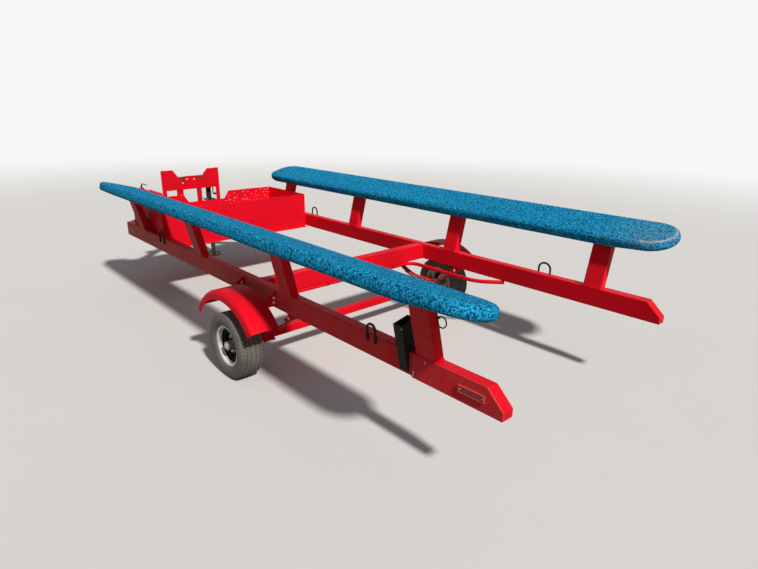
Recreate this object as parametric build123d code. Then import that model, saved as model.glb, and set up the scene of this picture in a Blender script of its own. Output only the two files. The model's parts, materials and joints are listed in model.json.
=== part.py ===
from build123d import *
import os
from math import asin, cos, degrees, radians, sin, sqrt, tan

os.makedirs("parts", exist_ok=True)

# Boat trailer, parked level on its two wheels and its drawbar jack.
# Millimetres. +Y is the direction of travel, +X the trailer's right, +Z up.
# Stations along Y are measured from the rails' rear tips while modelling. Every piece is moved
# back by half the overall length when it is saved, so the origin is the middle of the footprint.

# Wheels
TYRE_R = 224.5
TYRE_SECTION = 178.0
TREAD_WIDTH = 148.0
TYRE_SEAT_GAP = 0.3
BEAD_R = 127.0
FLANGE_R = 139.5
RIM_WIDTH = 140.0
RIM_SHEET = 4.0
RIM_WELL_R = 106.0
DISC_DEPTH = 52.0
DISC_SHEET = 6.0
WHEEL_X = 1035.0
AXLE_Y = 1954.0

# Hubs
HUB_R = 33.0
HUB_FLANGE_R = 66.0
HUB_FLANGE = 9.0
HUB_CAP_R = 28.0
HUB_CAP_LENGTH = 56.0
SPINDLE_R = 15.0
HUB_END_GAP = 6.0
RUN = 0.1

# Height of the chassis over the axle's centre
AXLE_TO_RAIL_TOP = 382.0
AXLE_Z = TYRE_R
RAIL_TOP = AXLE_Z + AXLE_TO_RAIL_TOP

# Chassis rails, rectangular tube
RAIL_HEIGHT = 127.0
RAIL_WIDTH = 66.0
TUBE_WALL = 4.0
TUBE_CORNER_R = 7.0
RAIL_OUT = 837.0
RAIL_IN = RAIL_OUT - RAIL_WIDTH
RAIL_FRONT = 4481.0
RAIL_TIP = 41.0
RAIL_CUT = 91.0
RAIL_BOTTOM = RAIL_TOP - RAIL_HEIGHT
DOUBLER_LENGTH = 530.0
DOUBLER_SHEET = 6.0

# Cross members and drawbar
MAIN_CROSS_REAR = 1972.0
MAIN_CROSS_DEPTH = 76.0
FRONT_CROSS_DEPTH = 40.0
DRAWBAR_WIDTH = 66.0
BALL_Y = 6420.0
NECK_LENGTH = 390.0
DRAWBAR_END = BALL_Y - NECK_LENGTH
STAY_WIDTH = 50.0
STAY_HEIGHT = 100.0
STAY_REAR_X = 785.0
STAY_FRONT_Y = 5190.0

# Tool box between the rails, ahead of the rear cross wall
BOX_REAR = 3723.0
BOX_SHEET = 4.0
BOX_RISE = 213.0
BOX_DROP = 143.0
BOX_TOP = RAIL_TOP + BOX_RISE
BOX_BOTTOM = RAIL_TOP - BOX_DROP
BOX_LIP = 20.0
BOX_CUT_TOP = 255.0
BOX_CUT_LOW = 193.0
BOX_CUT_DEPTH = 93.0
BOX_FRONT = RAIL_FRONT - FRONT_CROSS_DEPTH

# Head board and its foot bar
BASE_BAR = 60.0
BASE_Y = 4804.0
BASE_HALF = 480.0
BOARD_SHEET = 6.0
BOARD_HALF = 330.0
BOARD_RISE = 430.0
NOTCH_RISE = 358.0
BOARD_CLEAR = 212.0
BOARD_TOP = RAIL_TOP + BOARD_RISE
BOARD_NOTCH = RAIL_TOP + NOTCH_RISE
BOARD_LOW = RAIL_TOP + BOARD_CLEAR
BOARD_EAR = 200.0
NOTCH_LEFT = 150.0
NOTCH_RIGHT = 130.0
NOTCH_R = 22.0
LEG_WIDTH = 45.0
LEG_LAP = 45.0
UPRIGHT_DEPTH = 30.0
UPRIGHT_LAP = 90.0
# columns: middle across the trailer, width
UPRIGHTS = ((-130.0, 64.0), (92.0, 46.0))

# Drawbar jack
JACK_X = 235.0
JACK_TUBE_R = 28.5
JACK_WALL = 3.5
JACK_TUBE_LOW = 330.0
JACK_RISE = 330.0
JACK_TUBE_TOP = RAIL_TOP + JACK_RISE
JACK_CAP = 10.0
JACK_CAP_RIM = 4.0
JACK_RAM_GAP = 0.3
JACK_RAM_TOP = 560.0
JACK_FOOT_R = 80.0
JACK_FOOT_SHEET = 8.0
JACK_FOOT_RIM = 14.0
JACK_FLANGE = 10.0
JACK_FLANGE_WIDTH = 112.0
JACK_BEHIND = 0.5
CRANK_R = 6.0
CRANK_OUT = 55.0
CRANK_LOW = 120.0
CRANK_GRIP = 40.0
CRANK_SHAFT_R = 9.0
CRANK_HEIGHT = 26.0

# Coupler on the drawbar's front end
COUPLER_LAP = 290.0
COUPLER_SHEET = 5.0
COUPLER_GAP = 0.3
COUPLER_CHEEK = 96.0
HUMP_SET_BACK = 16.0
HUMP_FORWARD = 110.0
HUMP_RISE = 40.0
HUMP_R = 14.0
BALL_R = 25.0
BALL_GAP = 0.3
BALL_Z = RAIL_TOP - 4.0
SOCKET_R = 38.0
SOCKET_TOP = 44.0
SOCKET_DEPTH = 30.0
NECK_REAR_HALF = 43.0
NECK_FRONT_HALF = 31.0
NECK_RISE = 26.0
NECK_HEIGHT = 46.0
LATCH_WIDTH = 18.0
LATCH_SHEET = 7.0
LATCH_LENGTH = 215.0
LATCH_PIVOT = 50.0
LATCH_RISE = 62.0

# Axle and springs
AXLE_SIDE = 50.0
SPINDLE_LENGTH = 150.0
SPRING_X = 804.0
AXLE_BEYOND = 108.0
AXLE_HALF = SPRING_X + AXLE_BEYOND
SPRING_WIDTH = 50.0
LEAF = 7.0
SPRING_FRONT = 300.0
SPRING_REAR = 285.0
SPRING_SHIFT = 46.0
SPRING_R = 500.0
EYE_R = 13.0
PIN_R = 6.0
PIN_GAP = 0.3
SPRING_PAD = 17.0
PAD_HALF = 45.0
CLAMP_PLATE = 8.0
U_BOLT_R = 5.0
U_BOLT_GAP = 2.0
U_BOLT_STAND = 22.0
CHEEK = 6.0
CHEEK_GAP = 0.3
CHEEK_HALF_TOP = 38.0
CHEEK_HALF_LOW = 18.0
SHACKLE_BACK = 54.0
SHACKLE_RISE = 34.0
SHACKLE_HALF = 26.0
# columns: leaf, length as a share of the main leaf's
LEAVES = ((0, 1.0), (1, 0.78), (2, 0.5))

# Fenders, rolled sheet with a rounded outer shoulder and skirt
FENDER_IN = 925.0
FENDER_OUT = 1118.0
FENDER_DROP = 90.0
FENDER_CROWN_R = 464.0
FENDER_SKIRT_R = 404.0
FENDER_SHOULDER_R = 32.0
FENDER_SHEET = 3.0
FENDER_ARC_REAR = 51.5
FENDER_ARC_FRONT = 54.5
FENDER_ARC = FENDER_ARC_REAR + FENDER_ARC_FRONT
ARM_STATION = 205.0
ARM_SHEET = 8.0
ARM_DEPTH = 46.0
ARM_REACH = 70.0
ARM_BELOW_TOP = 4.0

# Posts and bunks
POST_LENGTH = 127.0
POST_WIDTH = 61.0
POST_LEAN = 14.0
POST_SIDE_GAP = 2.0
POST_SEAT_GAP = 0.3
# columns: name, station of the left post's middle, the right one's
POSTS = (("rear", 450.5, 450.5), ("axle", 1645.5, 1685.5),
         ("middle", 2875.5, 2923.5), ("front", 4068.5, 4117.0))
BUNK_X = 940.0
BUNK_RISE = 361.0
BUNK_TILT = 15.0
BUNK_WIDTH = 340.0
BUNK_THICK = 78.0
BUNK_EDGE_R = 30.0
BUNK_REAR = 30.0
BUNK_REAR_THICK = 64.0
BUNK_NOSE_START = 4185.0
BUNK_LEFT_SHORT = 90.0
# columns: distance ahead of the nose's start, width, thickness, drop of the middle
BUNK_NOSE = ((150.0, 334.0, 80.0, 0.0), (230.0, 290.0, 74.0, 1.0), (285.0, 220.0, 66.0, 3.0),
             (320.0, 130.0, 54.0, 5.0))

# Lashing loops on the rails' outer faces, columns: name, left loop, right loop,
# each loop: station, half width, height over the rail's top
LOOPS = (
    ("rear", (828.0, 31.0, 65.0), (846.0, 46.0, 74.0)),
    ("front", (3581.0, 45.0, 78.0), (3645.0, 43.0, 78.0)),
)
LOOP_BAR_R = 7.0
LOOP_FOOT = 42.0

# Side lamps, columns: name, station of the middle
LAMPS = (("rear", 167.0), ("front", 4330.0))
LAMP_LENGTH = 143.0
LAMP_HEIGHT = 36.0
LAMP_DEPTH = 8.0
LAMP_DROP = 61.0
LAMP_RIM = 4.0
LAMP_RECESS = 5.0

# Stub of an open leaning tube beside the left rear post, notched over the rail
STUB_WIDTH = 100.0
STUB_LENGTH = 57.0
STUB_WALL = 4.0
STUB_LEAN = 12.0
STUB_TOP_IN = 800.0
STUB_RISE = 165.0
STUB_LOW = 108.0
STUB_STATION = 583.5

# Wiring conduit under the main cross member and the right rail
CONDUIT_R = 15.0
CONDUIT_GAP = 0.3
CONDUIT_SETBACK = 14.0
CONDUIT_RUN_X = 645.0
CONDUIT_TURN_Y = 1300.0
CONDUIT_END_X = 790.0
CONDUIT_END_Y = 1140.0
CONDUIT_BENDS = (95.0, 220.0)

OVERALL_LENGTH = BALL_Y + SOCKET_R


def save(name, shape):
    """Move a finished piece to the shared origin, name it and write it."""
    placed = Pos(0, -OVERALL_LENGTH / 2, 0) * shape
    placed.label = name
    export_step(placed, f"parts/{name}.step")


def block(x0, x1, y0, y1, z0, z1):
    """Box between two corners."""
    middle = ((x0 + x1) / 2, (y0 + y1) / 2, (z0 + z1) / 2)
    return Pos(*middle) * Box(abs(x1 - x0), abs(y1 - y0), abs(z1 - z0))


def plate_x(points, x0, x1):
    """Plate across X from a side outline of (y, z) points."""
    face = make_face(Polyline(*[(y, z) for y, z in points], close=True))
    return Pos(x0, 0, 0) * extrude(Plane.YZ * face, x1 - x0)


def plate_y(points, y0, y1):
    """Plate along Y from a rear outline of (x, z) points."""
    face = make_face(Polyline(*[(x, z) for x, z in points], close=True))
    return Pos(0, y1, 0) * extrude(Plane.XZ * face, y1 - y0)


def plate_z(points, z0, z1):
    """Plate up Z from a plan outline of (x, y) points."""
    face = make_face(Polyline(*points, close=True))
    return Pos(0, 0, z0) * extrude(face, z1 - z0)


def long_fillet(solid, shortest):
    """Round the long edges of a tube, those over a length."""
    return fillet([edge for edge in solid.edges() if edge.length > shortest], TUBE_CORNER_R)


def tube_y(x0, x1, y0, y1, z0, z1, wall=TUBE_WALL):
    """Rectangular tube along Y, open at both ends."""
    outer = block(x0, x1, y0, y1, z0, z1)
    outer = fillet(outer.edges().filter_by(Axis.Y), TUBE_CORNER_R)
    return outer - block(x0 + wall, x1 - wall, y0 - 1, y1 + 1, z0 + wall, z1 - wall)


def tube_x(x0, x1, y0, y1, z0, z1, wall=TUBE_WALL):
    """Rectangular tube along X, open at both ends."""
    outer = block(x0, x1, y0, y1, z0, z1)
    outer = fillet(outer.edges().filter_by(Axis.X), TUBE_CORNER_R)
    return outer - block(x0 - 1, x1 + 1, y0 + wall, y1 - wall, z0 + wall, z1 - wall)


def ring_profile(points, side):
    """Turn a closed outline of (x, r) points about the wheel axis."""
    face = make_face(Polyline(*[(side * x, r) for x, r in points], close=True))
    return revolve(Plane.XY * face, Axis.X)


# Chassis

def rail(side):
    """Tube with a sloped and capped rear end, and a doubler plate on its rear outer face."""
    slope = RAIL_BOTTOM + RAIL_TIP

    def outline(inset, front):
        run = inset * tan(radians(22.5))
        return ((inset, RAIL_BOTTOM + inset), (inset, slope - run), (RAIL_CUT + run, RAIL_TOP - inset),
                (front, RAIL_TOP - inset), (front, RAIL_BOTTOM + inset))

    body = plate_x(outline(0, RAIL_FRONT), RAIL_IN, RAIL_OUT)
    body = fillet(body.edges().filter_by(Axis.Y), TUBE_CORNER_R)
    body -= plate_x(outline(TUBE_WALL, RAIL_FRONT + 1), RAIL_IN + TUBE_WALL, RAIL_OUT - TUBE_WALL)
    rear = ((0, RAIL_BOTTOM), (0, slope), (RAIL_CUT, RAIL_TOP),
            (DOUBLER_LENGTH, RAIL_TOP), (DOUBLER_LENGTH, RAIL_BOTTOM))
    body += plate_x(rear, RAIL_OUT, RAIL_OUT + DOUBLER_SHEET)
    return body if side > 0 else mirror(body, Plane.YZ)


def stay(side):
    """Diagonal tube from the rail's front end to the drawbar's side."""
    start_y = RAIL_FRONT
    end_x = DRAWBAR_WIDTH / 2
    dx = end_x - STAY_REAR_X
    dy = STAY_FRONT_Y - start_y
    length = sqrt(dx * dx + dy * dy)

    def edge(offset):
        """The two ends of a line beside the middle line."""
        px = STAY_REAR_X + offset * dy / length
        py = start_y - offset * dx / length
        rear = (px + (start_y - py) * dx / dy, start_y)
        front = (end_x, py + (end_x - px) * dy / dx)
        return rear, front

    half = STAY_WIDTH / 2
    outer_rear, outer_front = edge(half)
    inner_rear, inner_front = edge(-half)
    body = plate_z((outer_rear, outer_front, inner_front, inner_rear), RAIL_TOP - STAY_HEIGHT, RAIL_TOP)
    body = long_fillet(body, 5 * STAY_HEIGHT)
    half -= TUBE_WALL
    outer_rear, outer_front = edge(half)
    inner_rear, inner_front = edge(-half)
    hollow = (outer_rear, outer_front, inner_front, inner_rear)
    body -= plate_z(hollow, RAIL_TOP - STAY_HEIGHT + TUBE_WALL, RAIL_TOP - TUBE_WALL)
    return body if side > 0 else mirror(body, Plane.YZ)


def box_wall_front():
    """Front wall of the tool box with its wide tapered cut-out."""
    low = BOX_TOP - BOX_CUT_DEPTH
    outline = ((-RAIL_IN + BOX_SHEET, BOX_BOTTOM + BOX_SHEET), (-RAIL_IN + BOX_SHEET, BOX_TOP),
               (-BOX_CUT_TOP, BOX_TOP), (-BOX_CUT_LOW, low), (BOX_CUT_LOW, low), (BOX_CUT_TOP, BOX_TOP),
               (RAIL_IN - BOX_SHEET, BOX_TOP), (RAIL_IN - BOX_SHEET, BOX_BOTTOM + BOX_SHEET))
    return plate_y(outline, BOX_FRONT - BOX_SHEET, BOX_FRONT)


def box_wall_rear():
    """Rear wall with a small lip turned backwards along its foot."""
    wall = block(-RAIL_IN, RAIL_IN, BOX_REAR, BOX_REAR + BOX_SHEET, BOX_BOTTOM, BOX_TOP)
    return wall + block(-RAIL_IN, RAIL_IN, BOX_REAR - BOX_LIP, BOX_REAR, BOX_BOTTOM, BOX_BOTTOM + BOX_SHEET)


# Head board

def headboard():
    """Notched plate with two legs that lap the foot bar's rear face."""
    foot = RAIL_TOP + BASE_BAR - LEG_LAP
    side = ((BOARD_EAR, BOARD_TOP), (BOARD_HALF, BOARD_TOP),
            (BOARD_HALF, foot), (BOARD_HALF - LEG_WIDTH, foot), (BOARD_HALF - LEG_WIDTH, BOARD_LOW))
    left = tuple((-x, z) for x, z in reversed(side))
    floor = ((-NOTCH_LEFT, BOARD_NOTCH), (NOTCH_RIGHT, BOARD_NOTCH))
    board = plate_y(side + left + floor, BASE_Y - BOARD_SHEET, BASE_Y)
    corners = board.edges().filter_by(Axis.Y).filter_by_position(Axis.Z, BOARD_NOTCH - 1, BOARD_NOTCH + 1)
    return fillet(corners, NOTCH_R)


def headboard_frame():
    """Foot bar across the drawbar and stays, with two uprights behind the plate."""
    top = BOARD_LOW + UPRIGHT_LAP
    frame = tube_x(-BASE_HALF, BASE_HALF, BASE_Y, BASE_Y + BASE_BAR, RAIL_TOP, RAIL_TOP + BASE_BAR)
    for x, width in UPRIGHTS:
        frame += block(x - width / 2, x + width / 2, BASE_Y, BASE_Y + UPRIGHT_DEPTH, RAIL_TOP + BASE_BAR, top)
    return frame


# Jack

JACK_Y = BASE_Y + BASE_BAR + JACK_BEHIND + JACK_TUBE_R


def jack_tube():
    """Outer tube with its cap and the flange that sits on the foot bar."""
    inner = JACK_TUBE_R - JACK_WALL
    height = JACK_TUBE_TOP - JACK_TUBE_LOW
    body = Pos(JACK_X, JACK_Y, JACK_TUBE_LOW + height / 2) * Cylinder(JACK_TUBE_R, height)
    flange_z = RAIL_TOP + BASE_BAR
    half = JACK_FLANGE_WIDTH / 2
    body += block(JACK_X - half, JACK_X + half, BASE_Y + UPRIGHT_DEPTH, JACK_Y + JACK_TUBE_R + JACK_FLANGE,
                  flange_z, flange_z + JACK_FLANGE)
    bore = height - JACK_CAP
    body -= Pos(JACK_X, JACK_Y, JACK_TUBE_LOW + bore / 2) * Cylinder(inner, bore)
    body += Pos(JACK_X, JACK_Y, JACK_TUBE_TOP - JACK_CAP / 2) * Cylinder(JACK_TUBE_R + JACK_CAP_RIM, JACK_CAP)
    return body


def jack_ram():
    """Sliding inner tube on a dished foot."""
    r = JACK_TUBE_R - JACK_WALL - JACK_RAM_GAP
    low = JACK_FOOT_SHEET
    height = JACK_RAM_TOP - low
    body = Pos(JACK_X, JACK_Y, low + height / 2) * Cylinder(r, height)
    body -= Pos(JACK_X, JACK_Y, low + height / 2 + JACK_WALL) * Cylinder(r - JACK_WALL, height)
    body += Pos(JACK_X, JACK_Y, JACK_FOOT_SHEET / 2) * Cylinder(JACK_FOOT_R, JACK_FOOT_SHEET)
    rim = Cylinder(JACK_FOOT_R, JACK_FOOT_RIM) - Cylinder(JACK_FOOT_R - JACK_WALL, JACK_FOOT_RIM)
    return body + Pos(JACK_X, JACK_Y, JACK_FOOT_SHEET + JACK_FOOT_RIM / 2) * rim


def jack_crank():
    """Shaft out of the cap, and a handle folded down beside the tube."""
    shaft_z = JACK_TUBE_TOP + CRANK_SHAFT_R + CRANK_HEIGHT / 2
    low_z = RAIL_TOP + CRANK_LOW
    hub = Pos(JACK_X, JACK_Y, JACK_TUBE_TOP + CRANK_HEIGHT) * Cylinder(CRANK_SHAFT_R, 2 * CRANK_HEIGHT)
    path = FilletPolyline(
        (JACK_X, JACK_Y, shaft_z),
        (JACK_X + CRANK_OUT, JACK_Y, shaft_z),
        (JACK_X + CRANK_OUT, JACK_Y, low_z),
        (JACK_X + CRANK_OUT + CRANK_GRIP, JACK_Y, low_z),
        radius=2 * CRANK_R)
    section = Plane(origin=path @ 0, z_dir=path % 0) * Circle(CRANK_R)
    return hub + sweep(section, path=path)


# Coupler

def coupler():
    """Channel over the drawbar's end, tapered neck and the ball's housing."""
    rear = DRAWBAR_END - COUPLER_LAP
    front = DRAWBAR_END + 2 * COUPLER_SHEET
    inner = DRAWBAR_WIDTH / 2 + COUPLER_GAP
    outer = inner + COUPLER_SHEET
    roof = RAIL_TOP + COUPLER_GAP
    low = RAIL_TOP - COUPLER_CHEEK
    channel = block(-outer, outer, rear, front, low, roof + COUPLER_SHEET)
    channel -= block(-inner, inner, rear - 1, DRAWBAR_END + COUPLER_GAP, low - 1, roof)
    neck_top = roof + COUPLER_SHEET
    hump = block(-NECK_FRONT_HALF, NECK_FRONT_HALF, rear + HUMP_SET_BACK, DRAWBAR_END + HUMP_FORWARD,
                 neck_top - COUPLER_SHEET / 2, neck_top + HUMP_RISE)
    hump = fillet([edge for edge in hump.edges() if edge.center().Z > neck_top], HUMP_R)
    start = Rectangle(2 * NECK_REAR_HALF, NECK_HEIGHT)
    start = Pos(0, front, neck_top - NECK_HEIGHT / 2) * Rot(90, 0, 0) * start
    end_z = RAIL_TOP + NECK_RISE - NECK_HEIGHT / 2
    end = Pos(0, BALL_Y, end_z) * Rot(90, 0, 0) * Rectangle(2 * NECK_FRONT_HALF, NECK_HEIGHT)
    body = channel + loft([start, end], ruled=True) + hump
    height = SOCKET_TOP + SOCKET_DEPTH
    housing = Pos(0, BALL_Y, BALL_Z + SOCKET_TOP - height / 2) * Cylinder(SOCKET_R, height)
    housing = fillet(housing.edges().group_by(Axis.Z)[-1], SOCKET_R / 2)
    body += housing
    body -= Pos(0, BALL_Y, BALL_Z) * Sphere(BALL_R + BALL_GAP)
    return body - Pos(0, BALL_Y, BALL_Z - SOCKET_DEPTH) * Cylinder(BALL_R + BALL_GAP, 2 * SOCKET_DEPTH)


def coupler_latch():
    """Hand lever that rises behind the ball and lies back over the neck."""
    z = BALL_Z + SOCKET_TOP
    y = BALL_Y - LATCH_PIVOT
    top = z + LATCH_RISE
    back = BALL_Y - LATCH_LENGTH
    outline = ((BALL_Y + 10, z), (BALL_Y + 10, z + LATCH_SHEET), (BALL_Y - LATCH_SHEET, z + LATCH_SHEET),
               (y, top), (back, top), (back, top - LATCH_SHEET), (y - LATCH_SHEET / 2, top - LATCH_SHEET),
               (BALL_Y - 2 * LATCH_SHEET, z))
    return plate_x(outline, -LATCH_WIDTH / 2, LATCH_WIDTH / 2)


# Axle and springs

def axle():
    """Square beam with a round spindle at each end."""
    half = AXLE_SIDE / 2
    beam = block(-AXLE_HALF, AXLE_HALF, AXLE_Y - half, AXLE_Y + half, AXLE_Z - half, AXLE_Z + half)
    for side in (-1, 1):
        x = side * (AXLE_HALF + SPINDLE_LENGTH / 2)
        beam += Pos(x, AXLE_Y, AXLE_Z) * Rot(0, 90, 0) * Cylinder(SPINDLE_R, SPINDLE_LENGTH)
    return beam


SPRING_OUTER_R = SPRING_R + LEAF * len(LEAVES)
SPRING_CENTRE_Y = AXLE_Y + SPRING_SHIFT
SPRING_CENTRE_Z = AXLE_Z + AXLE_SIDE / 2 + SPRING_PAD + SPRING_OUTER_R
FRONT_PIN_Y = AXLE_Y + SPRING_FRONT
REAR_PIN_Y = AXLE_Y - SPRING_REAR
SHACKLE_Y = REAR_PIN_Y - SHACKLE_BACK


def leaf_top(y):
    """Height of the main leaf's upper face at a station."""
    return SPRING_CENTRE_Z - sqrt(SPRING_R ** 2 - (y - SPRING_CENTRE_Y) ** 2)


def spring_drum(radius):
    """Cylinder about the axis that the leaves are bent round."""
    middle = Pos(SPRING_X, SPRING_CENTRE_Y, SPRING_CENTRE_Z)
    return middle * Rot(0, 90, 0) * Cylinder(radius, 4 * SPRING_WIDTH)


FRONT_PIN_Z = leaf_top(FRONT_PIN_Y) + EYE_R - LEAF
REAR_PIN_Z = leaf_top(REAR_PIN_Y) + EYE_R - LEAF
SHACKLE_Z = REAR_PIN_Z + SHACKLE_RISE
SPRING_PINS = ((FRONT_PIN_Y, FRONT_PIN_Z), (REAR_PIN_Y, REAR_PIN_Z))


def rod(x0, x1, y, z, radius):
    """Round bar across the trailer."""
    return Pos((x0 + x1) / 2, y, z) * Rot(0, 90, 0) * Cylinder(radius, x1 - x0)


def spring(side):
    """Stack of curved leaves, the top one with an eye at each end."""
    x0 = SPRING_X - SPRING_WIDTH / 2
    x1 = SPRING_X + SPRING_WIDTH / 2
    stack = None
    for index, share in LEAVES:
        inner = SPRING_R + index * LEAF
        outer = inner + LEAF
        front = asin((share * SPRING_FRONT - SPRING_SHIFT) / SPRING_R)
        rear = asin((-share * SPRING_REAR - SPRING_SHIFT) / SPRING_R)
        middle = (front + rear) / 2

        def at(radius, turn):
            return SPRING_CENTRE_Y + radius * sin(turn), SPRING_CENTRE_Z - radius * cos(turn)

        outline = (ThreePointArc(at(inner, rear), at(inner, middle), at(inner, front))
                   + Line(at(inner, front), at(outer, front))
                   + ThreePointArc(at(outer, front), at(outer, middle), at(outer, rear))
                   + Line(at(outer, rear), at(inner, rear)))
        leaf = Pos(x0, 0, 0) * extrude(Plane.YZ * make_face(outline), SPRING_WIDTH)
        stack = leaf if stack is None else stack + leaf
    for y, z in SPRING_PINS:
        stack += rod(x0, x1, y, z, EYE_R)
    for y, z in SPRING_PINS:
        stack -= rod(x0 - 1, x1 + 1, y, z, PIN_R + PIN_GAP)
    return stack if side > 0 else mirror(stack, Plane.YZ)


def hangers(side):
    """Fixed front hanger, and the rear bracket with its shackle's two plates."""
    inner = SPRING_WIDTH / 2 + CHEEK_GAP
    outer = inner + CHEEK
    pin_half = outer + CHEEK
    y = FRONT_PIN_Y
    low = FRONT_PIN_Z - CHEEK_HALF_LOW
    outline = ((y - CHEEK_HALF_TOP, RAIL_BOTTOM), (y + CHEEK_HALF_TOP, RAIL_BOTTOM),
               (y + CHEEK_HALF_LOW, low), (y - CHEEK_HALF_LOW, low))
    front = plate_x(outline, SPRING_X - outer, SPRING_X - inner)
    front += plate_x(outline, SPRING_X + inner, SPRING_X + outer)
    front += block(SPRING_X - inner, SPRING_X + inner, y - CHEEK_HALF_TOP, y + CHEEK_HALF_TOP,
                   RAIL_BOTTOM - CHEEK, RAIL_BOTTOM)
    front += rod(SPRING_X - pin_half, SPRING_X + pin_half, y, FRONT_PIN_Z, PIN_R)
    low = SHACKLE_Z - EYE_R
    bracket = ((SHACKLE_Y - SHACKLE_HALF, RAIL_BOTTOM), (SHACKLE_Y + SHACKLE_HALF, RAIL_BOTTOM),
               (SHACKLE_Y + EYE_R, low), (SHACKLE_Y - EYE_R, low))
    rear = plate_x(bracket, SPRING_X - SPRING_WIDTH / 2, SPRING_X + SPRING_WIDTH / 2)
    length = sqrt(SHACKLE_BACK ** 2 + SHACKLE_RISE ** 2)
    run = EYE_R * SHACKLE_BACK / length
    rise = EYE_R * SHACKLE_RISE / length
    link = ((SHACKLE_Y - rise, SHACKLE_Z - run), (REAR_PIN_Y - rise, REAR_PIN_Z - run),
            (REAR_PIN_Y + rise, REAR_PIN_Z + run), (SHACKLE_Y + rise, SHACKLE_Z + run))
    for low_x, high_x in ((-outer, -inner), (inner, outer)):
        rear += plate_x(link, SPRING_X + low_x, SPRING_X + high_x)
        rear += rod(SPRING_X + low_x, SPRING_X + high_x, SHACKLE_Y, SHACKLE_Z, EYE_R)
        rear += rod(SPRING_X + low_x, SPRING_X + high_x, REAR_PIN_Y, REAR_PIN_Z, EYE_R)
    rear += rod(SPRING_X - pin_half, SPRING_X + pin_half, SHACKLE_Y, SHACKLE_Z, PIN_R)
    rear += rod(SPRING_X - pin_half, SPRING_X + pin_half, REAR_PIN_Y, REAR_PIN_Z, PIN_R)
    parts = [front, rear]
    return Compound(children=parts if side > 0 else [mirror(part, Plane.YZ) for part in parts])


def clamp(side):
    """Seat pad, top and bottom plates and the four legs of the two U-bolts."""
    half = AXLE_SIDE / 2
    leg_y = half + U_BOLT_GAP + U_BOLT_R
    leg_x = SPRING_WIDTH / 2 + U_BOLT_GAP + U_BOLT_R
    edge_x = leg_x + 2 * U_BOLT_R
    x0 = SPRING_X - edge_x
    x1 = SPRING_X + edge_x
    y0 = AXLE_Y - PAD_HALF
    y1 = AXLE_Y + PAD_HALF
    bottom = AXLE_Z - half
    leaf_high = leaf_top(y0)
    body = block(x0, x1, y0, y1, AXLE_Z + half, leaf_high) - spring_drum(SPRING_OUTER_R + CHEEK_GAP)
    body += block(x0, x1, y0, y1, bottom - CLAMP_PLATE, bottom)
    plate = block(x0, x1, y0, y1, SPRING_CENTRE_Z - SPRING_R, leaf_high + CLAMP_PLATE)
    body += plate & spring_drum(SPRING_R - CHEEK_GAP)
    low = bottom - 2 * CLAMP_PLATE
    high = leaf_high + CLAMP_PLATE + U_BOLT_STAND
    for dx in (-leg_x, leg_x):
        for dy in (-leg_y, leg_y):
            body += Pos(SPRING_X + dx, AXLE_Y + dy, (low + high) / 2) * Cylinder(U_BOLT_R, high - low)
    return body if side > 0 else mirror(body, Plane.YZ)


# Wheels, built about the X axis and then moved to the hub

def tyre(side):
    """Solid ring with beads, bulged sidewalls and rounded shoulders."""
    bead = RIM_WIDTH / 2 - RIM_SHEET - TYRE_SEAT_GAP
    low = BEAD_R + TYRE_SEAT_GAP
    bulge = TYRE_SECTION / 2
    bulge_r = (FLANGE_R + TYRE_R) / 2
    tread = TREAD_WIDTH / 2
    shoulder_r = TYRE_R - 14.0
    clear = FLANGE_R + TYRE_SEAT_GAP

    def wall(sign):
        return (Line((sign * bead, low), (sign * bead, clear))
                + ThreePointArc((sign * bead, clear), (sign * bulge, bulge_r),
                                (sign * (tread + 8), shoulder_r))
                + Line((sign * (tread + 8), shoulder_r), (sign * (tread - 8), TYRE_R)))

    outline = (wall(1) + Line((tread - 8, TYRE_R), (8 - tread, TYRE_R)) + wall(-1)
               + Line((-bead, low), (bead, low)))
    return revolve(make_face(outline), Axis.X)


def rim(side):
    """Rolled barrel with two flanges and a drop centre, and a deep-set disc."""
    edge = RIM_WIDTH / 2
    seat = edge - RIM_SHEET
    well = seat - 34.0
    thick = RIM_SHEET
    half = ((seat, FLANGE_R), (edge, FLANGE_R), (edge, BEAD_R - thick), (well + thick, BEAD_R - thick),
            (well - 8, RIM_WELL_R - thick))
    upper = ((-well + 8, RIM_WELL_R), (well - 8, RIM_WELL_R), (well, BEAD_R), (seat, BEAD_R))
    outline = half + tuple((-x, r) for x, r in reversed(half))
    outline = outline + ((-seat, BEAD_R), (-well, BEAD_R)) + upper
    barrel = ring_profile(outline, 1)
    disc_x = edge - DISC_DEPTH
    disc = Pos(disc_x - DISC_SHEET / 2, 0, 0) * Rot(0, 90, 0) * Cylinder(RIM_WELL_R - thick, DISC_SHEET)
    disc -= Pos(disc_x, 0, 0) * Rot(0, 90, 0) * Cylinder(HUB_CAP_R + 1, 4 * DISC_SHEET)
    body = barrel + disc
    return body if side > 0 else mirror(body, Plane.YZ)


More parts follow.
